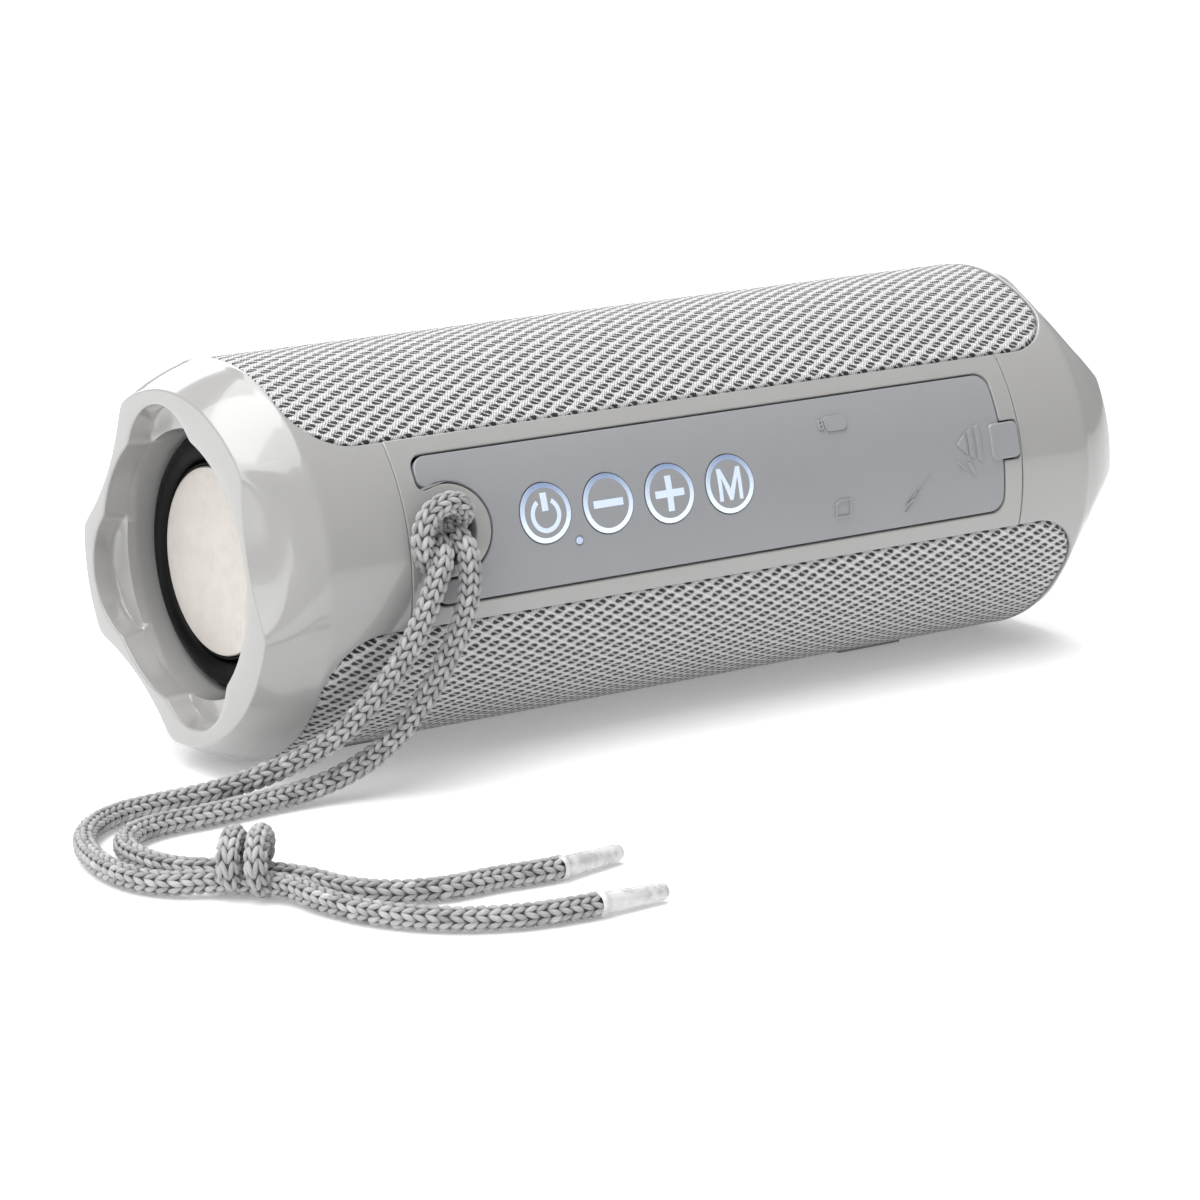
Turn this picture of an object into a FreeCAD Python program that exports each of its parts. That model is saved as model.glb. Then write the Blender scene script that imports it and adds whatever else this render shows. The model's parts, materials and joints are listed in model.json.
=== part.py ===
import FreeCAD, Part
import math
import os
import Sketcher

# Portable cylindrical speaker. Row frame, millimetres: +X along the tube, -Y is the side of the
# control strip, +Z up, origin on the floor under the middle of the tube.
# Most pieces are drawn in the strip frame: X as above, Z along the outward normal of the control
# strip, origin on the tube's axis. One turn and one lift carry that frame to the row frame.

V = FreeCAD.Vector
doc = FreeCAD.newDocument("speaker")

DIMENSIONS = {
    "axis_height": 38.0, "strip_tilt": 14.5,
    "body_radius": 37.5, "half_length": 100.0, "seam": 72.5, "shoulder": 89.0,
    "rim_radius": 32.8, "valley_radius": 27.0, "funnel_radius": 25.6, "bore_radius": 24.6,
    "scallop_radius": 80.0, "scallop_start": 92.5, "scallop_angle": 135.0,
    "skirt_inner": 34.6, "seat_radius": 36.65, "recess_floor": 90.0, "flange_back": 84.0,
    "crescent_radius": 12.5, "crescent_centre": 17.5, "crescent_depth": 4.5, "crescent_angle": 86.0,
    "fabric_inner": 36.75, "fabric_half_length": 88.9, "fabric_edge_angle": 27.5,
    "seat_edge_angle": 27.4, "fabric_corner": 11.5,
    "grille_inner": 34.7, "grille_outer": 36.6, "grille_half_length": 72.3,
    "frame_half_length": 72.35, "frame_inner": 33.2, "frame_half_angle": 27.3,
    "panel_floor": 35.2, "panel_inner": 35.3, "panel_half_angle": 21.3, "panel_gap_angle": 0.4,
    "panel_left": -68.15, "panel_right": 67.5, "panel_gap": 0.3, "panel_corner": 3.0,
    "hinge_x": 17.45, "hinge_gap": 0.3,
    "lug_x": -63.1, "lug_y": -0.4, "lug_radius": 8.7, "lug_top": 7.3, "lug_bottom": -9.1,
    "hole_x": -64.0, "hole_radius": 6.3, "well_radius": 7.7, "well_floor": 26.6, "well_wall": 1.2,
    "pin_radius": 1.5, "pin_height": 35.0, "pin_length": 15.6,
    "button_first": -42.4, "button_pitch": 14.14, "button_radius": 5.6, "button_hole": 5.95,
    "button_back": 34.2, "stem_radius": 1.6, "stem_end": 32.65,
    "lens_x": -35.5, "lens_y": -6.0, "lens_radius": 0.75,
    "tab_end": 71.8, "tab_half_angle": 5.4, "tab_inner": 36.1, "tab_outer": 38.0,
    "usb_x": 28.0, "usb_y": 5.2, "card_x": 28.0, "card_y": -7.0,
    "charge_x": 45.0, "charge_y": -5.0, "jack_x": 57.5, "jack_y": -4.0,
    "chassis_outer": 32.7, "chassis_inner": 31.2, "chassis_half_length": 83.0,
    "baffle_face": -21.0, "baffle_thickness": 2.0, "driver_x": 36.0, "driver_hole": 20.0,
    "key_board_bottom": 29.4, "key_board_top": 31.0, "main_board_bottom": 18.0,
    "main_board_top": 19.6, "battery_x": -33.4, "battery_height": 13.8, "battery_radius": 9.2,
    "battery_length": 65.0, "foot_x": 60.0, "foot_width": 11.0, "foot_length": 16.0,
    "cord_radius": 2.25, "tip_radius": 1.5,
}

sheet = doc.addObject("Spreadsheet::Sheet", "dims")
for row, (alias, value) in enumerate(DIMENSIONS.items(), start=1):
    sheet.set("A%d" % row, alias)
    sheet.set("B%d" % row, str(value))
    sheet.setAlias("B%d" % row, alias)
doc.recompute()


class Size:
    """A length or an angle: its value, and the expression that reads it from the sheet."""

    def __init__(self, value, text):
        self.value = value
        self.text = text

    def __add__(self, other):
        other = size(other)
        return Size(self.value + other.value, "(%s + %s)" % (self.text, other.text))

    def __sub__(self, other):
        other = size(other)
        return Size(self.value - other.value, "(%s - %s)" % (self.text, other.text))

    def __mul__(self, other):
        other = size(other)
        return Size(self.value * other.value, "(%s * %s)" % (self.text, other.text))

    def __truediv__(self, other):
        other = size(other)
        return Size(self.value / other.value, "(%s / %s)" % (self.text, other.text))

    def __neg__(self):
        return Size(-self.value, "(0 - %s)" % self.text)

    def __rsub__(self, other):
        return size(other) - self

    __radd__ = __add__
    __rmul__ = __mul__


def size(number):
    """A plain number as a Size; a Size stays as it is."""
    if isinstance(number, Size):
        return number
    return Size(float(number), "(%s)" % repr(float(number)))


def sine(angle):
    return Size(math.sin(math.radians(angle.value)), "sin(%s)" % angle.text)


def cosine(angle):
    return Size(math.cos(math.radians(angle.value)), "cos(%s)" % angle.text)


class Sheet:
    """Each alias of the sheet as a Size, read by name."""

    def __getattr__(self, alias):
        return Size(DIMENSIONS[alias], "dims." + alias)


D = Sheet()
strip_turn = 90.0 - DIMENSIONS["strip_tilt"]
STRIP_PLACE = FreeCAD.Placement(
    V(0, 0, DIMENSIONS["axis_height"]), FreeCAD.Rotation(V(1, 0, 0), strip_turn))
ROW_PLACE = FreeCAD.Placement()
pieces = {}


def bind(target, prop, amount):
    """Gives a property its value from the sheet."""
    target.setExpression(prop, size(amount).text)


def finish(node, target, place=STRIP_PLACE):
    """Names a sub-part and moves it from the frame it was drawn in to the row frame."""
    target.Label = node
    target.Placement = place.multiply(target.Placement)
    pieces[node] = target
    return target


# ---- sketches and PartDesign features -------------------------------------------------------

def new_body(name):
    return doc.addObject("PartDesign::Body", name)


def origin_part(body, role):
    for feature in body.Origin.OriginFeatures:
        if feature.Role == role:
            return feature
    raise ValueError(role)


def new_sketch(body, plane="XZ_Plane", offset=None):
    sketch = body.newObject("Sketcher::SketchObject", body.Name + "_sketch")
    sketch.AttachmentSupport = [(origin_part(body, plane), "")]
    sketch.MapMode = "FlatFace"
    if offset is not None:
        sketch.AttachmentOffset = offset
    return sketch


def raised(height):
    """The offset of a sketch plane along its own normal."""
    return FreeCAD.Placement(V(0, 0, size(height).value), FreeCAD.Rotation())


def arc_between(start, end, radius):
    """The short arc between two points, its centre to the left of the way for radius > 0."""
    chord = end - start
    middle = start + chord * 0.5
    rise = math.sqrt(max(radius ** 2 - (chord.Length / 2) ** 2, 0.0))
    left = V(-chord.y, chord.x, 0).normalize()
    centre = middle + left * math.copysign(rise, radius)
    first, last = (start, end) if radius > 0 else (end, start)
    angles = [math.atan2(p.y - centre.y, p.x - centre.x) for p in (first, last)]
    return Part.ArcOfCircle(Part.Circle(centre, V(0, 0, 1), abs(radius)), *angles)


def outline(sketch, corners):
    """Adds a closed outline. A corner is (x, y), or (x, y, radius) where an arc leads on."""
    first = sketch.GeometryCount
    count = len(corners)
    spots = [V(size(c[0]).value, size(c[1]).value, 0) for c in corners]
    ends = []
    for i, corner in enumerate(corners):
        here, there = spots[i], spots[(i + 1) % count]
        if len(corner) == 3:
            radius = size(corner[2])
            sketch.addGeometry(arc_between(here, there, radius.value), False)
            ends.append((1, 2) if radius.value > 0 else (2, 1))
        else:
            sketch.addGeometry(Part.LineSegment(here, there), False)
            ends.append((1, 2))
    for i, corner in enumerate(corners):
        after = (i + 1) % count
        sketch.addConstraint(Sketcher.Constraint(
            "Coincident", first + i, ends[i][1], first + after, ends[after][0]))
        for kind, amount in (("DistanceX", corner[0]), ("DistanceY", corner[1])):
            amount = size(amount)
            rule = Sketcher.Constraint(kind, -1, 1, first + i, ends[i][0], amount.value)
            index = sketch.addConstraint(rule)
            bind(sketch, "Constraints[%d]" % index, amount)
        if len(corner) == 3:
            radius = size(corner[2])
            radius = radius if radius.value > 0 else -radius
            index = sketch.addConstraint(Sketcher.Constraint("Radius", first + i, radius.value))
            bind(sketch, "Constraints[%d]" % index, radius)


def rectangle(sketch, x_low, y_low, x_high, y_high):
    outline(sketch, [(x_low, y_low), (x_high, y_low), (x_high, y_high), (x_low, y_high)])


def circle(sketch, x, y, radius):
    x, y, radius = size(x), size(y), size(radius)
    ring = Part.Circle(V(x.value, y.value, 0), V(0, 0, 1), radius.value)
    index = sketch.addGeometry(ring, False)
    for kind, amount in (("DistanceX", x), ("DistanceY", y)):
        rule = Sketcher.Constraint(kind, -1, 1, index, 3, amount.value)
        bind(sketch, "Constraints[%d]" % sketch.addConstraint(rule), amount)
    rule = Sketcher.Constraint("Radius", index, radius.value)
    bind(sketch, "Constraints[%d]" % sketch.addConstraint(rule), radius)


def turn(body, corners, angle=360.0, cut=False, axis="H_Axis"):
    """Revolves an outline of the XZ plane, evenly to both sides of it."""
    sketch = new_sketch(body)
    outline(sketch, corners)
    kind = "PartDesign::Groove" if cut else "PartDesign::Revolution"
    feature = body.newObject(kind, body.Name + "_turn")
    feature.Profile = sketch
    feature.ReferenceAxis = (sketch, [axis])
    feature.Midplane = True
    bind(feature, "Angle", angle)
    doc.recompute()
    return feature


def ring_profile(x_low, x_high, r_low, r_high, sign=1):
    """A rectangle of the XZ plane that revolves into a ring or a sector about X."""
    r_low, r_high = size(r_low) * sign, size(r_high) * sign
    return [(x_low, r_low), (x_high, r_low), (x_high, r_high), (x_low, r_high)]


def pad(body, sketch, length):
    feature = body.newObject("PartDesign::Pad", body.Name + "_pad")
    feature.Profile = sketch
    bind(feature, "Length", length)
    doc.recompute()
    return feature


def pocket(body, sketch, length, both_ways=False):
    """Cuts a sketch's outline down from its plane, or to both sides of it."""
    feature = body.newObject("PartDesign::Pocket", body.Name + "_pocket")
    feature.Profile = sketch
    feature.Midplane = both_ways
    before = body.Shape.Volume
    bind(feature, "Length", length)
    doc.recompute()
    assert body.Shape.Volume < before - 1e-6, body.Label
    return feature


def rounded(body, radius, chosen):
    """Rounds the edges that chosen picks."""
    base = body.Tip
    names = ["Edge%d" % (i + 1) for i, e in enumerate(base.Shape.Edges) if chosen(e)]
    feature = body.newObject("PartDesign::Fillet", body.Name + "_fillet")
    feature.Base = (base, names)
    bind(feature, "Radius", radius)
    doc.recompute()


# ---- Part primitives ------------------------------------------------------------------------

def block(name, x_low, y_low, z_low, x_high, y_high, z_high):
    box = doc.addObject("Part::Box", name)
    lows = [size(v) for v in (x_low, y_low, z_low)]
    highs = [size(v) for v in (x_high, y_high, z_high)]
    for prop, low, high in zip(("Length", "Width", "Height"), lows, highs):
        bind(box, prop, high - low)
    box.Placement.Base = V(*[low.value for low in lows])
    return box


def rod(name, start, direction, radius, length):
    """A cylinder from a point along a direction."""
    cylinder = doc.addObject("Part::Cylinder", name)
    bind(cylinder, "Radius", radius)
    bind(cylinder, "Height", length)
    base = V(*[size(v).value for v in start])
    cylinder.Placement = FreeCAD.Placement(base, FreeCAD.Rotation(V(0, 0, 1), V(*direction)))
    return cylinder


def cut(name, base, tool):
    result = doc.addObject("Part::Cut", name)
    result.Base = base
    result.Tool = tool
    return result


def fused(name, parts):
    result = doc.addObject("Part::MultiFuse", name)
    result.Shapes = parts
    return result


def group(name, parts):
    """Separate solids that share one node."""
    result = doc.addObject("Part::Compound", name)
    result.Links = parts
    return result


# ---- shells of the tube ---------------------------------------------------------------------

def sleeve_body(name, inner, outer, half_length, edge_angle):
    """A sleeve round the tube, open over the control strip, with its four corners rounded."""
    body = new_body(name)
    span = 360.0 - 2.0 * edge_angle
    turn(body, ring_profile(-half_length, half_length, inner, outer, -1), span)
    corner = D.fabric_corner
    half_corner_angle = math.degrees(DIMENSIONS["fabric_corner"] / DIMENSIONS["body_radius"]) / 2
    low = -(size(D.body_radius) * sine(size(half_corner_angle)))
    for turned in (-1, 1):
        tilt = -turned * (edge_angle.value + half_corner_angle)
        plane = FreeCAD.Rotation(V(1, 0, 0), tilt)
        offset = FreeCAD.Placement(plane.multVec(V(0, 0, outer.value + 1)), plane)
        sketch = new_sketch(body, "XY_Plane", offset)
        edge, past, far = [(low * turned), ((low - 2.0) * turned), ((low + corner) * turned)]
        for side in (-1, 1):
            start = (half_length - corner) * side
            bend = corner if side * turned < 0 else -corner
            outline(sketch, [
                (start, edge), (start, past), ((half_length + 1.0) * side, past),
                ((half_length + 1.0) * side, far), (half_length * side, far, bend)])
        pocket(body, sketch, 5.0)
    return body


def end_cap(name, side, turned):
    """One moulded cap: skirt, shoulder, rim with finger scallops, funnel and radiator bore."""
    body = new_body(name + "_moulding")
    profile = [
        (D.seam, D.skirt_inner), (D.seam, D.body_radius), (D.shoulder, D.body_radius, -36.0),
        (D.half_length, D.rim_radius), (D.half_length, D.funnel_radius),
        (D.recess_floor, D.bore_radius), (D.flange_back, D.bore_radius),
        (D.flange_back, D.bore_radius + 2.6), (D.shoulder - 2.5, D.bore_radius + 2.6),
        (D.shoulder - 2.5, D.skirt_inner)]
    if side < 0:
        profile = [(size(p[0]) * -1, p[1]) + tuple(-size(r) for r in p[2:]) for p in profile]
    turn(body, profile)

    fall = DIMENSIONS["body_radius"] - DIMENSIONS["valley_radius"]
    slope = math.degrees(math.atan2(fall, DIMENSIONS["half_length"] - DIMENSIONS["scallop_start"]))
    lean = FreeCAD.Rotation(V(0, 1, 0), 90.0 + slope if side > 0 else -90.0 - slope)
    top = V(side * DIMENSIONS["scallop_start"], 0, DIMENSIONS["body_radius"])
    for angle in (0.0, DIMENSIONS["scallop_angle"], -DIMENSIONS["scallop_angle"]):
        around = FreeCAD.Rotation(V(1, 0, 0), turned + angle)
        offset = FreeCAD.Placement(around.multVec(top), around.multiply(lean))
        sketch = new_sketch(body, "XY_Plane", offset)
        circle(sketch, D.scallop_radius * (-side), 0, D.scallop_radius)
        pocket(body, sketch, 60.0, both_ways=True)

    face = FreeCAD.Rotation(V(0, 1, 0), 90.0 * side)
    for angle in (180.0, DIMENSIONS["crescent_angle"], -DIMENSIONS["crescent_angle"]):
        around = FreeCAD.Rotation(V(1, 0, 0), turned + angle)
        offset = FreeCAD.Placement(V(side * DIMENSIONS["half_length"], 0, 0), around.multiply(face))
        sketch = new_sketch(body, "XY_Plane", offset)
        circle(sketch, D.crescent_centre * (-side), 0, D.crescent_radius)
        pocket(body, sketch, D.crescent_depth)

    seat = sleeve_body(name + "_seat", D.seat_radius, D.body_radius + 1.0,
                       D.shoulder, D.seat_edge_angle)
    finish(name, cut(name, body, seat))


end_cap("left_end_cap", -1, 0.0)
end_cap("right_end_cap", 1, 180.0)
finish("grille_fabric", sleeve_body("grille_fabric", D.fabric_inner, D.body_radius,
                                    D.fabric_half_length, D.fabric_edge_angle))


def cap_seals():
    """Two O-rings between the cap skirts and the inner cabinet."""
    rings = []
    for side in (-1, 1):
        ring = doc.addObject("Part::Torus", "seal_ring")
        bind(ring, "Radius1", (D.chassis_outer + D.skirt_inner) / 2)
        bind(ring, "Radius2", 0.9)
        ring.Placement = FreeCAD.Placement(V(side * 78.0, 0, 0), FreeCAD.Rotation(V(0, 1, 0), 90))
        rings.append(ring)
    finish("cap_seals", group("cap_seals", rings))


def grille_shell():
    """The plastic tube under the fabric, with rows of sound slots over the drivers."""
    body = new_body("grille_shell")
    turn(body, ring_profile(-D.grille_half_length, D.grille_half_length,
                            D.grille_inner, D.grille_outer, -1), 360.0 - 2 * D.fabric_edge_angle)
    sketch = new_sketch(body, "XY_Plane", raised(-D.grille_outer - 1.0))
    slot_length, slot_width, columns, lines = 8.0, 3.0, 10, 7
    reach_x, reach_y = 54.0, 18.0
    rectangle(sketch, -reach_x - slot_length / 2, -reach_y - slot_width / 2,
              -reach_x + slot_length / 2, -reach_y + slot_width / 2)
    slot = body.newObject("PartDesign::Pocket", "sound_slot")
    slot.Profile = sketch
    slot.Reversed = True
    slot.Length = 14.0
    rows = []
    for role, reach, count in (("X_Axis", reach_x, columns), ("Y_Axis", reach_y, lines)):
        step = body.newObject("PartDesign::LinearPattern", "slot_" + role)
        step.Direction = (origin_part(body, role), [""])
        step.Length = 2 * reach
        step.Occurrences = count
        rows.append(step)
    grid = body.newObject("PartDesign::MultiTransform", "slot_grid")
    grid.Originals = [slot]
    grid.Transformations = rows
    body.Tip = grid
    doc.recompute()
    finish("grille_shell", body)


cap_seals()
grille_shell()


# ---- control strip --------------------------------------------------------------------------

def lug_cut(body, gap):
    """Cuts the lanyard lug's outline, grown by a gap, out of a panel."""
    sketch = new_sketch(body, "XY_Plane", raised(D.body_radius + 1))
    rectangle(sketch, D.panel_left - 2.0, D.lug_bottom - gap, D.lug_x, D.lug_top + gap)
    pocket(body, sketch, 6.0)


def strip_frame():
    """The glossy frame round the control panel, with its floor, lug, well and openings."""
    body = new_body("strip_frame")
    half = D.frame_half_length
    turn(body, ring_profile(-half, half, D.frame_inner, D.body_radius), 2 * D.frame_half_angle)
    left, right = D.panel_left - D.panel_gap, D.panel_right + D.panel_gap
    opening = 2 * (D.panel_half_angle + D.panel_gap_angle)
    turn(body, ring_profile(left, right, D.panel_floor, D.body_radius + 1), opening, cut=True)
    notch_angle = 2 * (D.tab_half_angle + D.panel_gap_angle)
    turn(body, ring_profile(right - 1, D.tab_end + 0.2, D.tab_inner - 0.1, D.body_radius + 1),
         notch_angle, cut=True)

    for shape in ("bar", "disc"):
        sketch = new_sketch(body, "XY_Plane", raised(D.frame_inner + 1))
        if shape == "bar":
            rectangle(sketch, left - 1, D.lug_bottom, D.lug_x, D.lug_top)
        else:
            circle(sketch, D.lug_x, D.lug_y, D.lug_radius)
        pad(body, sketch, D.body_radius - D.frame_inner)
    sketch = new_sketch(body, "XY_Plane", raised(D.well_floor - D.well_wall))
    circle(sketch, D.hole_x, D.lug_y, D.well_radius)
    pad(body, sketch, D.frame_inner + 1 - (D.well_floor - D.well_wall))
    turn(body, ring_profile(-half - 1, half + 1, D.body_radius, D.body_radius + 3), 80, cut=True)

    sketch = new_sketch(body, "XY_Plane", raised(D.body_radius + 1))
    circle(sketch, D.hole_x, D.lug_y, D.hole_radius)
    pocket(body, sketch, D.body_radius + 1 - D.well_floor)
    sketch = new_sketch(body, "XZ_Plane", raised(-D.lug_y))
    circle(sketch, D.hole_x, D.pin_height, D.pin_radius)
    pocket(body, sketch, D.pin_length + 0.4, both_ways=True)

    sketch = new_sketch(body, "XY_Plane", raised(D.body_radius + 1))
    for index in range(4):
        circle(sketch, D.button_first + index * D.button_pitch, 0, D.button_hole)
    circle(sketch, D.lens_x, D.lens_y, D.lens_radius + 0.1)
    rectangle(sketch, D.usb_x - 7.4, D.usb_y - 4.0, D.usb_x + 7.4, D.usb_y + 4.0)
    rectangle(sketch, D.card_x - 7.6, D.card_y - 1.7, D.card_x + 7.6, D.card_y + 1.7)
    rectangle(sketch, D.charge_x - 5.0, D.charge_y - 2.2, D.charge_x + 5.0, D.charge_y + 2.2)
    circle(sketch, D.jack_x, D.jack_y, 3.3)
    pocket(body, sketch, 12.0)
    finish("strip_frame", body)


def control_panel():
    """The silicone keypad from the lug to the living hinge of the port cover."""
    body = new_body("control_panel")
    end = D.hinge_x - D.hinge_gap / 2
    turn(body, ring_profile(D.panel_left, end, D.panel_inner, D.body_radius),
         2 * D.panel_half_angle)
    corner_x = DIMENSIONS["panel_left"]
    rounded(body, D.panel_corner, lambda e: e.Length < 4 and abs(e.CenterOfMass.x - corner_x) < 0.1)
    lug_cut(body, D.panel_gap)
    sketch = new_sketch(body, "XY_Plane", raised(D.body_radius + 1))
    circle(sketch, D.lug_x, D.lug_y, D.lug_radius + D.panel_gap)
    for index in range(4):
        circle(sketch, D.button_first + index * D.button_pitch, 0, D.button_radius + 0.15)
    circle(sketch, D.lens_x, D.lens_y, D.lens_radius + 0.05)
    pocket(body, sketch, 6.0)
    finish("control_panel", body)


def port_cover():
    """The silicone flap over the sockets, with its pull tab and the plugs that hold it shut."""
    body = new_body("port_cover")
    start = D.hinge_x + D.hinge_gap / 2
    turn(body, ring_profile(start, D.panel_right, D.panel_inner, D.body_radius),
         2 * D.panel_half_angle)
    corner_x = DIMENSIONS["panel_right"]
    rounded(body, D.panel_corner, lambda e: e.Length < 4 and abs(e.CenterOfMass.x - corner_x) < 0.1)
    turn(body, ring_profile(D.panel_right - 3.0, D.tab_end, D.tab_inner, D.tab_outer),
         2 * D.tab_half_angle)
    sketch = new_sketch(body, "XY_Plane", raised(D.frame_inner + 0.1))
    rectangle(sketch, D.usb_x - 6.0, D.usb_y - 2.4, D.usb_x + 6.0, D.usb_y + 2.4)
    rectangle(sketch, D.charge_x - 4.0, D.charge_y - 1.2, D.charge_x + 4.0, D.charge_y + 1.2)
    circle(sketch, D.jack_x, D.jack_y, D.pin_radius)
    pad(body, sketch, D.panel_inner - D.frame_inner + 0.3)
    finish("port_cover", body)


def button(node, index):
    """One key: a disc that follows the panel's curve, and a stem above its switch."""
    body = new_body(node)
    x = D.button_first + index * D.button_pitch
    sketch = new_sketch(body, "XY_Plane", raised(D.button_back))
    circle(sketch, x, 0, D.button_radius)
    pad(body, sketch, D.body_radius + 1 - D.button_back)
    sketch = new_sketch(body, "XY_Plane", raised(D.stem_end))
    circle(sketch, x, 0, D.stem_radius)
    pad(body, sketch, D.button_back + 0.5 - D.stem_end)
    turn(body, ring_profile(x - 7.0, x + 7.0, D.body_radius, D.body_radius + 3), 40, cut=True)
    finish(node, body)


BUTTONS = ("power_button", "minus_button", "plus_button", "mode_button")
strip_frame()
control_panel()
port_cover()
for index, node in enumerate(BUTTONS):
    button(node, index)
lens = rod("status_lens", (D.lens_x, D.lens_y, 34.4), (0, 0, 1), D.lens_radius, 2.55)
finish("status_lens", lens)
pin_start = (D.hole_x, D.lug_y + D.pin_length / 2, D.pin_height)
finish("lanyard_pin", rod("lanyard_pin", pin_start, (0, -1, 0), D.pin_radius - 0.05, D.pin_length))


# ---- circuit boards, sockets and battery ----------------------------------------------------

def key_electronics():
    """The key board with its switches, lamps and light guide, under the panel's floor."""
    finish("key_board", block("key_board", -52.0, -10.5, D.key_board_bottom,
                              8.0, 10.5, D.key_board_top))
    switches, lamps = [], []
    top = D.key_board_top
    for index in range(4):
        x = D.button_first + index * D.button_pitch
        body = block("switch_body", x - 2.25, -2.25, top, x + 2.25, 2.25, top + 0.8)
        stem = rod("switch_stem", (x, 0, top + 0.8), (0, 0, 1), 1.0, 0.3)
        switches.append(fused("key_switch", [body, stem]))
        for side in (-1, 1):
            lamps.append(block("key_lamp", x + side * 4.6 - 0.4, -0.8, top,
                               x + side * 4.6 + 0.4, 0.8, top + 0.6))
    finish("key_switches", group("key_switches", switches))
    finish("key_leds", group("key_leds", lamps))
    body = new_body("light_guide")
    sketch = new_sketch(body, "XY_Plane", raised(31.9))
    rectangle(sketch, -50.0, -6.2, 6.0, 6.2)
    pad(body, sketch, 0.6)
    sketch = new_sketch(body, "XY_Plane", raised(33.0))
    for index in range(4):
        circle(sketch, D.button_first + index * D.button_pitch, 0, 3.4)
    pocket(body, sketch, 3.0)
    finish("light_guide", body)


def socket(node, x, y, half_x, half_y, top, opening_x, opening_y, depth, tongue):
    """A metal-shelled socket that stands on the main board with its mouth up."""
    body = new_body(node)
    sketch = new_sketch(body, "XY_Plane", raised(D.main_board_top))
    rectangle(sketch, x - half_x, y - half_y, x + half_x, y + half_y)
    pad(body, sketch, top - D.main_board_top)
    sketch = new_sketch(body, "XY_Plane", raised(top))
    rectangle(sketch, x - opening_x, y - opening_y, x + opening_x, y + opening_y)
    pocket(body, sketch, depth)
    if tongue:
        sketch = new_sketch(body, "XY_Plane", raised(size(top) - depth - 0.5))
        rectangle(sketch, x - opening_x + 1.0, y - opening_y + 0.5,
                  x + opening_x - 1.0, y - opening_y + 0.5 + tongue)
        pad(body, sketch, depth - 0.5)
    finish(node, body)


def main_electronics():
    """The main board under the port cover, with its sockets, radio module and amplifier."""
    board_top = D.main_board_top
    finish("main_board", block("main_board", 10.0, -20.0, D.main_board_bottom,
                               70.0, 20.0, board_top))
    socket("usb_socket", D.usb_x, D.usb_y, 6.6, 2.95, 33.0, 6.25, 2.56, 11.5, 1.84)
    socket("card_slot", D.card_x, D.card_y, 7.2, 1.2, 32.6, 5.7, 0.65, 10.0, 0)
    socket("charge_socket", D.charge_x, D.charge_y, 4.4, 1.7, 33.0, 3.7, 1.25, 6.0, 0.6)
    body = new_body("audio_jack")
    sketch = new_sketch(body, "XY_Plane", raised(board_top))
    x, y = D.jack_x, D.jack_y
    rectangle(sketch, x - 3.5, y - 3.5, x + 3.5, y + 3.5)
    pad(body, sketch, 9.4)
    sketch = new_sketch(body, "XY_Plane", raised(board_top + 9.0))
    circle(sketch, x, y, 3.0)
    pad(body, sketch, 4.3)
    sketch = new_sketch(body, "XY_Plane", raised(board_top + 13.3))
    circle(sketch, x, y, 1.8)
    pocket(body, sketch, 12.0)
    finish("audio_jack", body)

    card = block("radio_card", 53.0, 3.5, board_top, 67.0, 14.5, board_top + 0.8)
    can = block("radio_can", 54.5, 4.5, board_top + 0.8, 64.0, 13.5, board_top + 2.4)
    finish("bluetooth_module", fused("bluetooth_module", [card, can]))
    parts = [block("amplifier_chip", 14.0, -16.0, board_top, 19.0, -11.0, board_top + 1.2),
             block("charger_chip", 38.0, 11.0, board_top, 42.0, 15.0, board_top + 1.0)]
    for x, y in ((15.0, 13.0), (22.0, 14.0), (34.0, -15.0), (52.0, -15.0)):
        parts.append(rod("capacitor", (x, y, board_top), (0, 0, 1), 2.5, 5.4))
    for x, y in ((25.0, -17.0), (43.0, -17.0)):
        parts.append(block("coil", x, y, board_top, x + 5.0, y + 5.0, board_top + 2.8))
    finish("board_components", group("board_components", parts))


def battery():
    """The cell across the tube's left half, and the cradle that carries it."""
    start = D.battery_x - D.battery_length / 2
    finish("battery_cell", rod("battery_cell", (start, 0, D.battery_height), (1, 0, 0),
                               D.battery_radius, D.battery_length))
    low = D.battery_height - 10.0
    tray = block("cradle_block", start - 2.0, -11.2, low,
                 start + D.battery_length + 2.0, 11.2, D.battery_height - 1.0)
    trough = rod("cradle_trough", (start - 0.2, 0, D.battery_height), (1, 0, 0),
                 D.battery_radius + 0.2, D.battery_length + 0.4)
    finish("battery_cradle", cut("battery_cradle", tray, trough))


key_electronics()
main_electronics()
battery()


# ---- inner cabinet --------------------------------------------------------------------------

def chassis_front():
    """The upper cabinet half: window for the keys and sockets, rails for the key board."""
    body = new_body("chassis_front")
    half = D.chassis_half_length
    turn(body, ring_profile(-half, half, D.chassis_inner, D.chassis_outer), 179.6)
    sketch = new_sketch(body, "XY_Plane", raised(D.chassis_outer + 1))
    rectangle(sketch, -73.0, -14.0, 73.0, 14.0)
    pocket(body, sketch, 8.0)
    sketch = new_sketch(body, "XY_Plane", raised(27.9))
    for side in (-1, 1):
        near, far = (9.5, 14.6) if side > 0 else (-14.6, -9.5)
        rectangle(sketch, -54.0, near, 9.5, far)
    pad(body, sketch, 1.4)
    finish("chassis_front", body)


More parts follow.
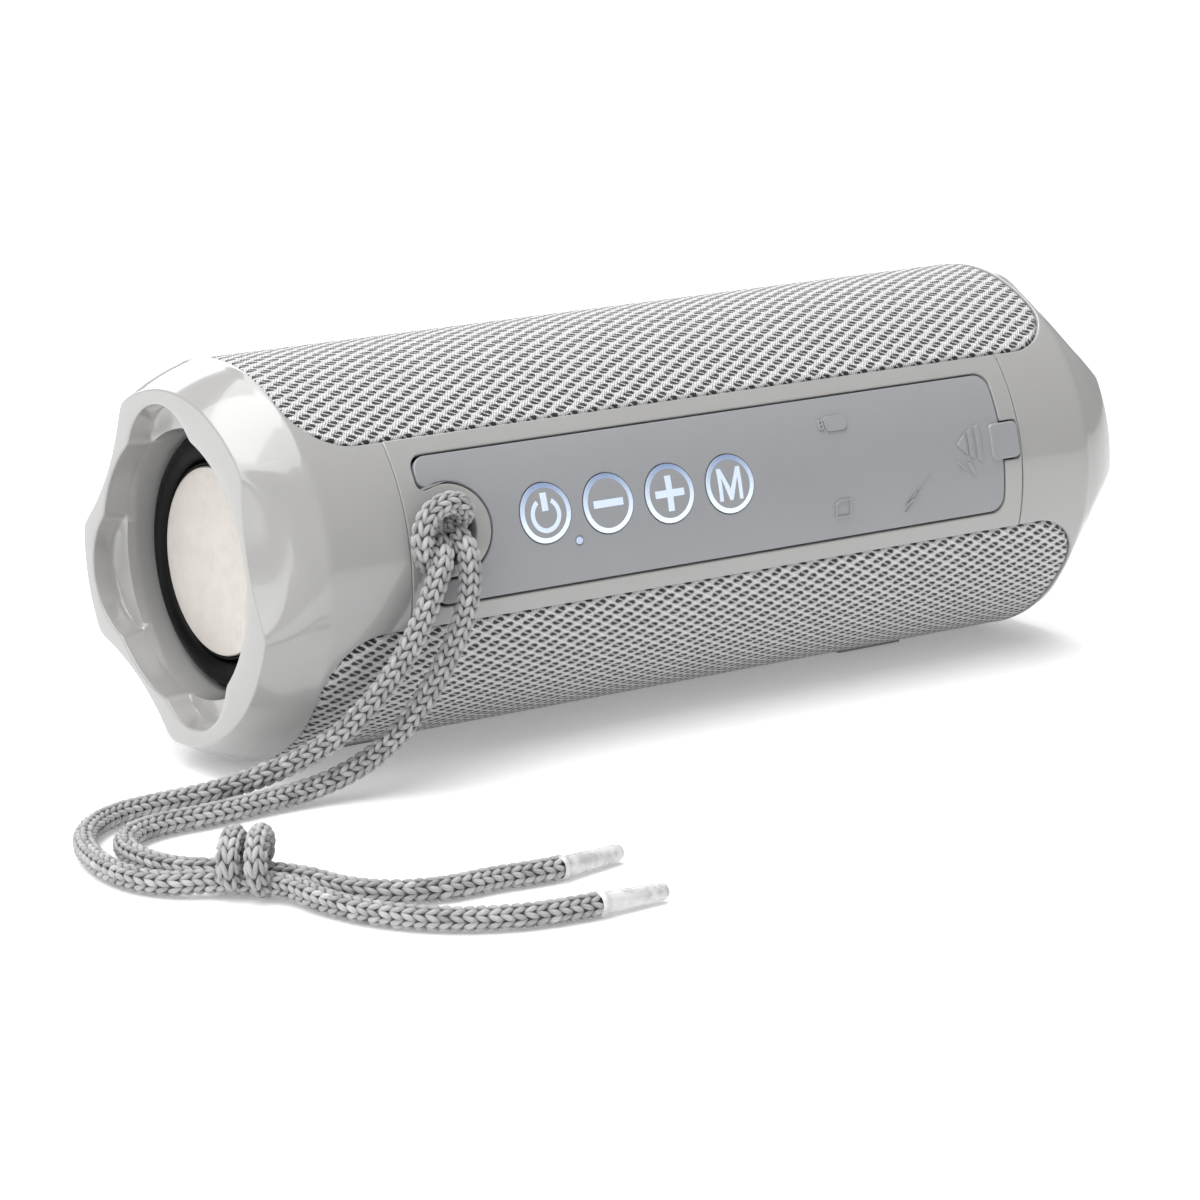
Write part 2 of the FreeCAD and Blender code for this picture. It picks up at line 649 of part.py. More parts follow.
def chassis_rear():
    """The lower cabinet half: baffle with the driver holes, and posts for board and cradle."""
    body = new_body("chassis_rear")
    half = D.chassis_half_length
    turn(body, ring_profile(-half, half, D.chassis_inner, D.chassis_outer, -1), 179.6)
    sketch = new_sketch(body, "XY_Plane", raised(D.baffle_face))
    rectangle(sketch, -78.5, -23.4, 78.5, 23.4)
    pad(body, sketch, D.baffle_thickness)
    sketch = new_sketch(body, "XY_Plane", raised(D.baffle_face - 14.0))
    for side in (-1, 1):
        x = D.driver_x * side
        rectangle(sketch, x - 23.4, -23.6, x + 23.4, 23.6)
    window = body.newObject("PartDesign::Pocket", "sound_window")
    window.Profile = sketch
    window.Reversed = True
    window.Length = 14.0
    doc.recompute()
    sketch = new_sketch(body, "XY_Plane", raised(D.baffle_face + 5.0))
    for side in (-1, 1):
        circle(sketch, D.driver_x * side, 0, D.driver_hole)
    pocket(body, sketch, 10.0)
    post_base = D.baffle_face + 1.0
    sketch = new_sketch(body, "XY_Plane", raised(post_base))
    for x, y in ((13.0, -17.5), (13.0, 17.5), (66.0, -17.5), (66.0, 17.5)):
        circle(sketch, x, y, 2.0)
    pad(body, sketch, D.main_board_bottom - post_base)
    sketch = new_sketch(body, "XY_Plane", raised(post_base))
    for x, y in ((-66.0, -9.0), (-66.0, 9.0), (-1.0, -9.0), (-1.0, 9.0)):
        circle(sketch, x, y, 1.8)
    pad(body, sketch, D.battery_height - 10.0 - post_base)
    finish("chassis_rear", body)


chassis_front()
chassis_rear()


# ---- drivers and passive radiators ----------------------------------------------------------

def driver(side, word):
    """One full-range driver, drawn about its own axis, mouth down, flange on the baffle."""
    seat = FreeCAD.Placement(V(side * DIMENSIONS["driver_x"], 0, DIMENSIONS["baffle_face"]),
                             FreeCAD.Rotation())
    place = STRIP_PLACE.multiply(seat)
    basket = new_body(word + "_driver_basket")
    turn(basket, [(22.4, -1.5), (22.4, 0), (19.6, 0), (14.2, 10.5), (6.0, 10.5), (6.0, 9.7),
                  (13.6, 9.7), (18.9, -0.4), (18.9, -1.5)], axis="V_Axis")
    finish(word + "_driver_basket", basket, place)
    cone = new_body(word + "_driver_cone")
    turn(cone, [(16.3, -0.9), (16.3, -0.3), (5.3, 6.2), (5.3, 13.2), (4.8, 13.2), (4.8, 5.6),
                (0, 3.6), (0, 3.0), (5.0, 5.0)], axis="V_Axis")
    finish(word + "_driver_cone", cone, place)
    edge = new_body(word + "_driver_surround")
    turn(edge, [(16.4, -0.5), (18.8, -0.5), (18.8, -1.0, -1.6), (16.4, -1.0)], axis="V_Axis")
    finish(word + "_driver_surround", edge, place)
    magnet = new_body(word + "_magnet")
    turn(magnet, [(0, 10.6), (4.3, 10.6), (4.3, 15.0), (5.8, 15.0), (5.8, 10.6), (14.0, 10.6),
                  (14.0, 18.6), (0, 18.6)], axis="V_Axis")
    magnet.Placement = seat
    return magnet


def radiator(side, word):
    """One passive radiator: clamp ring, rubber surround with a half roll, and a metal disc."""
    def mirrored(profile):
        if side > 0:
            return profile
        return [(size(p[0]) * -1, p[1]) + tuple(-size(r) for r in p[2:]) for p in profile]

    bore = D.bore_radius
    ring = new_body(word + "_radiator_ring")
    turn(ring, mirrored([(79.0, 22.2), (79.0, bore + 2.2), (83.9, bore + 2.2),
                         (83.9, bore - 0.15), (88.6, bore - 0.15), (88.6, 22.2)]))
    finish(word + "_radiator_ring", ring)
    surround = new_body(word + "_radiator_surround")
    turn(surround, mirrored([
        (88.7, 22.5), (88.7, 24.4), (90.0, 24.4), (90.0, 22.9, -2.35), (90.4, 18.5),
        (91.3, 18.3), (91.3, 17.5), (90.2, 17.5), (90.2, 16.3), (89.4, 16.3), (89.4, 18.7, 2.1)]))
    finish(word + "_radiator_surround", surround)
    disc = new_body(word + "_radiator_disc")
    turn(disc, mirrored([(85.5, 0), (91.0, 0), (91.0, 17.4), (90.3, 17.4), (90.3, 16.1),
                         (88.0, 16.1), (88.0, 10.0), (85.5, 10.0)]))
    finish(word + "_radiator_disc", disc)


magnets = []
for side, word in ((-1, "left"), (1, "right")):
    magnets.append(driver(side, word))
    radiator(side, word)
finish("driver_magnets", group("driver_magnets", magnets))


# ---- fasteners, feet and leads --------------------------------------------------------------

def screw(start, direction, head_radius, head_height, shaft_radius, length):
    """A cylinder-head screw whose head's outer face is at start."""
    start, direction = V(*start), V(*direction).normalize()
    head = rod("screw_head", start, direction, head_radius, head_height)
    under = start + direction * (head_height * 0.5)
    shaft = rod("screw_shaft", under, direction, shaft_radius, length)
    return fused("screw", [head, shaft])


def screws():
    """Radial screws of the caps, screws of the driver flanges, and screws of the boards."""
    radial = []
    for side in (-1, 1):
        for angle in (60, 120, 240, 300):
            out = V(0, math.sin(math.radians(angle)), math.cos(math.radians(angle)))
            start = V(side * 75.6, 0, 0) + out * 36.3
            radial.append(screw(start, -out, 1.9, 1.0, 0.9, 5.0))
    finish("cap_screws", group("cap_screws", radial))
    flange = []
    for side in (-1, 1):
        for angle in (45, 135, 225, 315):
            x = side * DIMENSIONS["driver_x"] + 20.8 * math.cos(math.radians(angle))
            y = 20.8 * math.sin(math.radians(angle))
            start = (x, y, DIMENSIONS["baffle_face"] - 2.3)
            flange.append(screw(start, (0, 0, 1), 1.3, 0.8, 0.7, 5.0))
    finish("driver_screws", group("driver_screws", flange))
    board = []
    for x, y in ((13.0, -17.5), (13.0, 17.5), (66.0, -17.5), (66.0, 17.5)):
        start = (x, y, DIMENSIONS["main_board_top"] + 1.2)
        board.append(screw(start, (0, 0, -1), 1.7, 1.2, 0.8, 6.0))
    finish("board_screws", group("board_screws", board))


def feet():
    """Two low anti-slip pads glued under the tube, where it stands."""
    pads = []
    for side in (-1, 1):
        x = D.foot_x * side
        slab = block("foot_slab", x - D.foot_length / 2, -D.foot_width / 2, 0,
                     x + D.foot_length / 2, D.foot_width / 2, 1.8)
        tube = rod("foot_hollow", (x - D.foot_length, 0, D.axis_height), (1, 0, 0),
                   D.body_radius + 0.02, 2 * D.foot_length)
        pads.append(cut("foot", slab, tube))
    finish("rubber_feet", group("rubber_feet", pads), ROW_PLACE)


def turned_path(points):
    """Straight runs joined by tangent arcs, and the radius of each arc."""
    points = [V(*p) for p in points]
    edges, radii = [], []
    here = points[0]
    for before, corner, after in zip(points, points[1:], points[2:]):
        back, ahead = before - corner, after - corner
        reach = 0.45 * min(back.Length, ahead.Length)
        half_turn = (math.pi - back.getAngle(ahead)) / 2
        radii.append(reach / math.tan(half_turn))
        enter = corner + V(back).normalize() * reach
        leave = corner + V(ahead).normalize() * reach
        inward = (V(back).normalize() + V(ahead).normalize()).normalize()
        centre_reach = radii[-1] / math.cos(half_turn)
        middle = corner + inward * (centre_reach - radii[-1])
        edges.append(Part.LineSegment(here, enter).toShape())
        edges.append(Part.Arc(enter, middle, leave).toShape())
        here = leave
    edges.append(Part.LineSegment(here, points[-1]).toShape())
    return Part.Wire(edges), radii


def tube(points, radius):
    """A round tube along a turned path, its volume compared with its section times length."""
    path, radii = turned_path(points)
    ahead = V(*points[1]) - V(*points[0])
    section = Part.Wire(Part.Circle(V(*points[0]), ahead, radius).toShape())
    solid = path.makePipeShell([section], True, False)
    share = solid.Volume / (math.pi * radius ** 2 * path.Length)
    return solid, path.Length, radii, share


def cord(node, points, radius):
    """A cord's tube as its own piece, in the row frame."""
    solid, length, radii, share = tube(points, radius)
    feature = doc.addObject("Part::Feature", node)
    feature.Shape = solid
    finish(node, feature, ROW_PLACE)
    print("%s: length %.1f, smallest bend radius %.1f, volume share %.4f"
          % (node, length, min(radii), share))
    print("   bend radii", " ".join("%.1f" % r for r in radii))


def leads(node, routes):
    """Insulated wires between inner parts, drawn in the strip frame."""
    wires = []
    for route in routes:
        wire = doc.addObject("Part::Feature", "wire")
        wire.Shape = tube(route, 0.7)[0]
        wires.append(wire)
    finish(node, group(node, wires))


screws()
feet()
leads("battery_leads", [
    [(-0.9, 3.0, 16.0), (4.0, 3.0, 16.0), (7.0, 3.4, 21.5), (12.0, 4.0, 23.0), (14.0, 4.2, 19.6)],
    [(-0.9, -3.0, 16.0), (4.0, -3.0, 16.0), (7.0, -3.4, 21.5), (12.0, -4.0, 23.0),
     (14.0, -4.2, 19.6)]])
leads("speaker_leads", [
    [(-21.0, 12.0, -11.2), (-10.0, 14.0, -8.0), (2.0, 16.0, 6.0), (8.0, 17.0, 22.0),
     (12.0, 11.5, 24.0), (13.0, 10.0, 19.6)],
    [(20.6, 12.0, -11.2), (14.0, 14.5, -8.0), (6.5, 14.0, 4.0), (6.0, 12.0, 19.0),
     (10.0, 8.0, 23.0), (12.0, 7.5, 19.6)]])


# ---- lanyard --------------------------------------------------------------------------------

def strip_point(x, across, height):
    """A point of the strip frame in the row frame."""
    spot = STRIP_PLACE.multVec(V(x, across, height))
    return (spot.x, spot.y, spot.z)


FLOOR = 2.35
LOOP = [strip_point(-61.2, -0.8, 29.6), strip_point(-60.3, 0.8, 36.0),
        strip_point(-61.0, 3.6, 40.0), strip_point(-65.0, 4.9, 40.6),
        strip_point(-69.2, 3.2, 40.3), strip_point(-71.3, -0.8, 40.0),
        strip_point(-70.6, -5.2, 38.6), strip_point(-67.0, -6.4, 35.4),
        strip_point(-65.0, -3.4, 30.6)]
STRAND_A = [(-65.5, -29.7, 45.2), (-66.2, -36.2, 45.9), (-67.6, -40.8, 43.4),
            (-70.9, -41.8, 37.6), (-73.9, -41.6, 31.0), (-77.6, -40.6, 24.5),
            (-83.0, -38.8, 17.4), (-89.5, -36.0, 11.2), (-98.5, -31.5, 6.6),
            (-108.5, -27.2, 3.4), (-118.0, -24.2, FLOOR), (-127.5, -25.2, FLOOR),
            (-135.5, -30.0, FLOOR), (-141.0, -38.0, FLOOR), (-144.2, -48.5, FLOOR),
            (-144.2, -58.8, FLOOR), (-140.6, -66.0, FLOOR), (-135.0, -69.6, 3.0)]
STRAND_B = [(-62.5, -29.5, 45.8), (-62.6, -36.1, 46.9), (-62.4, -40.8, 44.2),
            (-62.9, -42.0, 38.0), (-64.4, -42.0, 31.5), (-67.8, -41.7, 25.0),
            (-72.0, -40.9, 18.2), (-77.0, -39.3, 11.6), (-83.5, -36.8, 6.2),
            (-92.5, -34.6, 3.0), (-103.0, -34.2, FLOOR), (-114.0, -35.4, FLOOR),
            (-124.5, -34.8, FLOOR), (-132.3, -37.8, FLOOR), (-136.8, -44.6, FLOOR),
            (-137.0, -53.0, FLOOR), (-134.4, -60.0, FLOOR), (-131.0, -65.0, 3.0)]
TAIL_A = [(-125.2, -79.0, 3.0), (-124.4, -89.0, FLOOR), (-121.2, -98.6, FLOOR),
          (-115.4, -106.8, FLOOR), (-107.2, -112.6, FLOOR), (-97.4, -115.9, FLOOR),
          (-87.4, -116.6, FLOOR)]
TAIL_B = [(-121.0, -76.6, 3.0), (-118.2, -85.0, FLOOR), (-112.4, -91.8, FLOOR),
          (-103.8, -95.0, FLOOR), (-94.6, -94.9, FLOOR), (-88.0, -96.2, FLOOR),
          (-81.2, -96.6, FLOOR)]
TIP_A = ((-87.4, -116.6, FLOOR), (-74.2, -116.2, 1.8))
TIP_B = ((-81.2, -96.6, FLOOR), (-67.6, -94.2, 1.8))

radius = DIMENSIONS["cord_radius"]
cord("lanyard_loop", LOOP, radius)
cord("lanyard_strand_a", STRAND_A, radius)
cord("lanyard_strand_b", STRAND_B, radius)
cord("lanyard_tail_a", TAIL_A, radius)
cord("lanyard_tail_b", TAIL_B, radius)

knot = doc.addObject("Part::Ellipsoid", "lanyard_knot")
for prop, amount in (("Radius1", 5.2), ("Radius2", 8.6), ("Radius3", 8.6)):
    bind(knot, prop, amount)
knot.Placement.Base = V(-128.0, -72.4, 5.3)
finish("lanyard_knot", knot, ROW_PLACE)
for node, (start, end) in (("lanyard_tip_a", TIP_A), ("lanyard_tip_b", TIP_B)):
    along = V(*end) - V(*start)
    tip = rod(node, start, along, D.tip_radius + 0.2, along.Length)
    finish(node, tip, ROW_PLACE)


# ---- checks and export ----------------------------------------------------------------------

doc.recompute()
for target in doc.Objects:
    faults = [state for state in target.State if state in ("Invalid", "Error")]
    assert not faults, (target.Label, faults)
os.makedirs("parts", exist_ok=True)
for node, target in pieces.items():
    shape = target.Shape
    assert not shape.isNull() and shape.isValid() and shape.Solids, node
    shape.exportStep("parts/%s.step" % node)
print(len(pieces), "pieces")
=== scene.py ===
import bmesh
import bpy
import json
import math
import numpy as np
from mathutils import Matrix, Vector


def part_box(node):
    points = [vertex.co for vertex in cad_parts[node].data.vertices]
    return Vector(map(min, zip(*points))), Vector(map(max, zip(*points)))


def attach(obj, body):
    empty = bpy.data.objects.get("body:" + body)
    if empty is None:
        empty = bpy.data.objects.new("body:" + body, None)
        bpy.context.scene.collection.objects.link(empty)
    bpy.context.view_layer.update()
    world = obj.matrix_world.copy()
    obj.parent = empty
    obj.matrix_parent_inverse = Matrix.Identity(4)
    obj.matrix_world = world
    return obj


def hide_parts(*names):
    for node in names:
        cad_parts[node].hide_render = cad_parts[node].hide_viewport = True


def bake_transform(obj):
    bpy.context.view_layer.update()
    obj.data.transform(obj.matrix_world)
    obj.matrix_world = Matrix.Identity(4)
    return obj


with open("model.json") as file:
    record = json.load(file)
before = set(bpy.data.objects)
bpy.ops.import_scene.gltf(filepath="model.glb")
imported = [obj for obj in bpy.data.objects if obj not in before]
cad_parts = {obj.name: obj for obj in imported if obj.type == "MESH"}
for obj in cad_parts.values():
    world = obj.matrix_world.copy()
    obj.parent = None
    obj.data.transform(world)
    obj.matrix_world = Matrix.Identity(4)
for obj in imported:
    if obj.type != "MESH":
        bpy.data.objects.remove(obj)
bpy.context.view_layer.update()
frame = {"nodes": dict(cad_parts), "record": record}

# A fabric-covered tube speaker that lies on its side with its control strip towards the viewer.
# Shapes are given in millimetres: x runs along the tube, "arc" runs round it from the middle of
# the control strip (positive upwards), and "lift" is the height above the tube's surface.

MM = 0.001
TUBE_RADIUS = 37.5
STRIP_TILT = math.radians(14.5)
AXIS_HEIGHT = sum(corner[2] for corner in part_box("left_radiator_disc")) / 2 / MM
HALF_TURN = math.pi * TUBE_RADIUS

SEAM = 72.5
FRAME_EDGE = 17.87
FABRIC_END = 89.0
WINDOW_CORNER = 11.5
WINDOW_REACH = HALF_TURN - FRAME_EDGE
PANEL_LEFT, PANEL_RIGHT, PANEL_EDGE, PANEL_CORNER = -68.15, 67.5, 13.94, 3.0
LUG_X, LUG_ARC, LUG_RADIUS, LUG_GAP = -63.1, -0.4, 8.7, 0.3
TONGUE = 7.6
HOLE_X, HOLE_RADIUS = -64.0, 6.3
TAB_END, TAB_HALF = 71.7, 3.6
PANEL_GAP = 0.42
STRIP_WIDTH = 1.2
KEY_FIRST, KEY_PITCH, KEY_RADIUS, KEY_GAP = -42.4, 14.14, 5.6, 0.14
PILOT_X, PILOT_ARC = -35.5, -6.0
USB, CARD, CHARGE, JACK = (28.0, 5.2), (28.0, -7.0), (45.0, -5.0), (57.5, -4.0)
CORD_RADIUS = 2.25


# ---- camera ----

def add_camera():
    """A long lens from the left and above, aimed a little below the tube's axis."""
    data = bpy.data.cameras.new("camera")
    data.lens = 129.24
    data.sensor_width = 36.0
    camera = bpy.data.objects.new("camera", data)
    camera.location = (-0.48410, -0.66360, 0.22105)
    aim = Vector((-0.003906, 0.0, 0.018134)) - camera.location
    camera.rotation_euler = aim.to_track_quat("-Z", "Y").to_euler()
    bpy.context.scene.collection.objects.link(camera)
    bpy.context.scene.camera = camera


add_camera()


# ---- places and meshes ----

def round_tube(x, arc, lift=0.0):
    """Row-frame points, in metres, for places given in millimetres round the tube."""
    x, arc, lift = np.broadcast_arrays(*[np.asarray(v, float) for v in (x, arc, lift)])
    angle = STRIP_TILT + arc / TUBE_RADIUS
    reach = TUBE_RADIUS + lift
    return np.stack([x, -reach * np.cos(angle), AXIS_HEIGHT + reach * np.sin(angle)], -1) * MM


def strip_point(x, across, height):
    """A point, in millimetres, measured square to the control strip from the tube's axis."""
    tilt = math.pi / 2 - STRIP_TILT
    return (x, across * math.cos(tilt) - height * math.sin(tilt),
            across * math.sin(tilt) + height * math.cos(tilt) + AXIS_HEIGHT)


def grid_faces(rows, columns, closed=False):
    """Quads of a grid of points stored row by row; closed joins the last column to the first."""
    wide = columns if closed else columns - 1
    low = np.arange(rows - 1)[:, None] * columns
    left = np.arange(wide)[None, :]
    right = (left + 1) % columns
    quads = np.stack([low + left, low + right, low + columns + right, low + columns + left], -1)
    return quads.reshape(-1, 4)


def add_piece(name, mesh, material, body):
    """An object of a mesh, riding on a body and finished with a material slot."""
    mesh.materials.append(material)
    piece = bpy.data.objects.new(name, mesh)
    bpy.context.scene.collection.objects.link(piece)
    if body is not None:
        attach(piece, body)
    return piece


def add_mesh(name, points, faces, material, body="root", sharp=None):
    """A smooth-shaded mesh object from points in metres, riding on a body."""
    mesh = bpy.data.meshes.new(name)
    mesh.from_pydata(np.asarray(points).reshape(-1, 3).tolist(), [],
                     faces.tolist() if hasattr(faces, "tolist") else faces)
    mesh.shade_smooth()
    if sharp is not None:
        mesh.set_sharp_from_angle(angle=math.radians(sharp))
    return add_piece(name, mesh, material, body)


def set_uv(mesh, pairs):
    """One UV pair for each vertex, so a pattern follows the cloth or the yarn."""
    layer = mesh.uv_layers.new(name="weave")
    corners = np.empty(len(mesh.loops), np.int32)
    mesh.loops.foreach_get("vertex_index", corners)
    layer.data.foreach_set("uv", np.asarray(pairs, np.float32)[corners].ravel())


def set_tone(mesh, tones):
    """A grey value for each vertex, read by a material as the attribute "tone"."""
    layer = mesh.attributes.new("tone", "FLOAT", "POINT")
    layer.data.foreach_set("value", np.asarray(tones, np.float32).ravel())


def fillet(corners, steps=7):
    """A closed outline from (x, arc, radius) corners, each rounded to its radius."""
    outline = []
    count = len(corners)
    for index, (x, arc, radius) in enumerate(corners):
        here = Vector((x, arc))
        back = (Vector(corners[index - 1][:2]) - here).normalized()
        onward = (Vector(corners[(index + 1) % count][:2]) - here).normalized()
        half = back.angle(onward) / 2
        if radius <= 0 or half > 1.56:
            outline.append(here)
            continue
        centre = here + (back + onward).normalized() * radius / math.sin(half)
        first = here + back * radius / math.tan(half) - centre
        last = here + onward * radius / math.tan(half) - centre
        sweep = first.angle_signed(last)
        for step in range(steps + 1):
            turned = first.copy()
            turned.rotate(Matrix.Rotation(-sweep * step / steps, 2))
            outline.append(centre + turned)
    return [tuple(p) for p in outline]


def circle(x, arc, radius, steps=64):
    return [(x + radius * math.cos(2 * math.pi * i / steps),
             arc + radius * math.sin(2 * math.pi * i / steps)) for i in range(steps)]


def box_outline(place, half_long, half_wide, radius):
    """A rounded rectangle round a place."""
    (x, arc), w, h = place, half_long, half_wide
    return fillet([(x - w, arc - h, radius), (x + w, arc - h, radius),
                   (x + w, arc + h, radius), (x - w, arc + h, radius)])


def flat_solid(name, outlines, thick, edge, steps):
    """A mesh, lying flat, of outlines filled to a thickness with rounded edges."""
    curve = bpy.data.curves.new(name, "CURVE")
    curve.dimensions = "2D"
    curve.fill_mode = "BOTH"
    curve.extrude = thick / 2 - edge
    curve.bevel_depth = edge
    curve.bevel_resolution = steps
    curve.offset = -edge
    for outline in outlines:
        spline = curve.splines.new("POLY")
        spline.points.add(len(outline) - 1)
        for point, (x, arc) in zip(spline.points, outline):
            point.co = (x, arc, 0.0, 1.0)
        spline.use_cyclic_u = True
    holder = bpy.data.objects.new(name, curve)
    bpy.context.scene.collection.objects.link(holder)
    mesh = bpy.data.meshes.new_from_object(holder)
    bpy.data.objects.remove(holder)
    bpy.data.curves.remove(curve)
    return mesh


def slice_across(shape, outlines, cuts):
    """Cuts a flat mesh into narrow strips, so that it bends smoothly, and at each x in cuts."""
    arcs = [p[1] for outline in outlines for p in outline]
    low, high = min(arcs), max(arcs)
    strips = max(2, math.ceil((high - low) / STRIP_WIDTH))
    lines = [(Vector((0, low + (high - low) * i / strips, 0)), Vector((0, 1, 0)))
             for i in range(1, strips)]
    lines += [(Vector((x, 0, 0)), Vector((1, 0, 0))) for x in cuts]
    for spot, normal in lines:
        everything = shape.verts[:] + shape.edges[:] + shape.faces[:]
        bmesh.ops.bisect_plane(shape, geom=everything, plane_co=spot, plane_no=normal, dist=1e-5)
    shape.normal_update()


def plate(name, outlines, base, top, edge, material, body="root", cuts=(), steps=3):
    """A flat shape with rounded edges, cut to outlines in (x, arc) and bent round the tube."""
    mesh = flat_solid(name, outlines, top - base, edge, steps)
    shape = bmesh.new()
    shape.from_mesh(mesh)
    bmesh.ops.remove_doubles(shape, verts=shape.verts, dist=1e-4)
    slice_across(shape, outlines, cuts)
    middle = (base + top) / 2
    reach = (top - base) / 2 - 1e-4
    places, normals = [], []
    for vertex in shape.verts:
        x, arc, z = vertex.co
        normal = vertex.normal.copy()
        if abs(z) > reach:
            normal = Vector((0, 0, math.copysign(1, z)))
        angle = STRIP_TILT + arc / TUBE_RADIUS
        outward = Vector((0, -math.cos(angle), math.sin(angle)))
        upward = Vector((0, math.sin(angle), math.cos(angle)))
        normals.append(Vector((normal.x, 0, 0)) + upward * normal.y + outward * normal.z)
        places.append(round_tube(x, arc, z + middle))
    for vertex, place in zip(shape.verts, places):
        vertex.co = place
    shape.to_mesh(mesh)
    shape.free()
    mesh.shade_smooth()
    mesh.normals_split_custom_set_from_vertices(normals)
    return add_piece(name, mesh, material, body)


def joined(name, parts):
    """Several meshes of one body as one piece."""
    with bpy.context.temp_override(active_object=parts[0], selected_editable_objects=parts):
        bpy.ops.object.join()
    parts[0].name = name
    return parts[0]


# ---- materials ----

class Paint:
    """A node material: sockets of its Principled shader set directly, patterns added by node."""

    def __init__(self, name, **sockets):
        self.material = bpy.data.materials.new(name)
        self.material.use_nodes = True
        self.tree = self.material.node_tree
        self.shader = self.tree.nodes["Principled BSDF"]
        for socket, value in sockets.items():
            self.shader.inputs[socket.replace("_", " ")].default_value = value

    def add(self, kind, out=0, **values):
        """A node whose sockets are set to numbers or linked to other nodes' outputs."""
        node = self.tree.nodes.new("ShaderNode" + kind)
        sockets = values.pop("sockets", {})
        for name, value in values.items():
            setattr(node, name, value)
        for key, value in sockets.items():
            if isinstance(value, bpy.types.NodeSocket):
                self.tree.links.new(value, node.inputs[key])
            else:
                node.inputs[key].default_value = value
        return node.outputs[out]

    def math(self, operation, first, second=0.0):
        return self.add("Math", operation=operation, sockets={0: first, 1: second})

    def times(self, first, second):
        return self.math("MULTIPLY", first, second)

    def total(self, first, *others):
        for other in others:
            first = self.math("ADD", first, other)
        return first

    def between(self, value, low, high, to_low=0.0, to_high=1.0):
        """value from low..high carried smoothly onto to_low..to_high."""
        return self.add("MapRange", interpolation_type="SMOOTHSTEP", sockets={
            "Value": value, "From Min": low, "From Max": high, "To Min": to_low, "To Max": to_high})

    def mix(self, share, first, second):
        """A blend of two colours."""
        node = self.tree.nodes.new("ShaderNodeMix")
        node.data_type = "RGBA"
        for socket, value in ((0, share), (6, first), (7, second)):
            if isinstance(value, bpy.types.NodeSocket):
                self.tree.links.new(value, node.inputs[socket])
            else:
                node.inputs[socket].default_value = value
        return node.outputs[2]

    def noise(self, scale, detail=3.0, vector=None, roughness=0.5):
        spot = self.add("TexCoord", out=3) if vector is None else vector
        return self.add("TexNoise", sockets={
            "Vector": spot, "Scale": scale, "Detail": detail, "Roughness": roughness})

    def link(self, socket, output):
        self.tree.links.new(output, self.shader.inputs[socket.replace("_", " ")])

    def bump(self, height, distance, strength=1.0):
        self.link("Normal", self.add("Bump", sockets={
            "Height": height, "Distance": distance, "Strength": strength}))


def grey(value, warm=0.0):
    """An opaque grey, warmer or cooler than neutral."""
    return (value * (1 + warm), value, value * (1 - warm), 1.0)


def moulded(name, colour, rough, spread, grain, depth, **sockets):
    """Moulded plastic, rubber or metal: clouded colour, uneven gloss and a fine surface grain."""
    paint = Paint(name, **sockets)
    cloud = paint.noise(45.0)
    dark = tuple(c * 0.93 for c in colour[:3]) + (1.0,)
    paint.link("Base_Color", paint.mix(cloud, dark, colour))
    paint.link("Roughness", paint.between(paint.noise(160.0), 0.3, 0.7, rough - spread, rough + spread))
    paint.bump(paint.noise(grain, 5.0), depth)
    return paint.material


CAP_GLOSS = moulded("cap_gloss", grey(0.345, 0.012), 0.17, 0.04, 300.0, 0.00001,
                    Coat_Weight=0.6, Coat_Roughness=0.05, IOR=1.5)
SILICONE = moulded("panel_silicone", (0.285, 0.293, 0.308, 1), 0.44, 0.05, 5200.0, 0.00004,
                   Sheen_Weight=0.15, Sheen_Roughness=0.4)
BLACK_RUBBER = moulded("black_rubber", grey(0.0025), 0.40, 0.06, 2600.0, 0.00004,
                       Specular_IOR_Level=0.10)
BLACK_PLASTIC = moulded("black_plastic", grey(0.022), 0.5, 0.08, 3200.0, 0.00005)
STEEL = moulded("steel", grey(0.55), 0.3, 0.08, 1800.0, 0.00001, Metallic=1.0)
PAPER = moulded("paper_cone", grey(0.03), 0.75, 0.05, 1500.0, 0.0001)
MAGNET = moulded("magnet", grey(0.10), 0.6, 0.08, 1200.0, 0.00005)
CELL = moulded("cell_wrap", (0.04, 0.14, 0.40, 1), 0.25, 0.06, 500.0, 0.00003)
WIRE = moulded("wire", (0.42, 0.03, 0.03, 1), 0.4, 0.05, 1500.0, 0.00002)
GUIDE = moulded("guide", grey(0.82), 0.35, 0.05, 900.0, 0.00002, Transmission_Weight=0.3)
CHIPS = moulded("components", grey(0.03), 0.45, 0.08, 2500.0, 0.00003)


def circuit_board():
    """Solder mask over copper tracks that stand a little proud."""
    paint = Paint("board", Roughness=0.35)
    spot = paint.add("TexCoord", out=3)
    tracks = paint.add("TexVoronoi", distance="MANHATTAN", sockets={"Vector": spot, "Scale": 420.0})
    share = paint.between(tracks, 0.30, 0.42)
    paint.link("Base_Color", paint.mix(share, (0.015, 0.10, 0.045, 1), (0.03, 0.20, 0.08, 1)))
    paint.bump(share, 0.00004)
    return paint.material


TOOL_MARKS = 16000.0


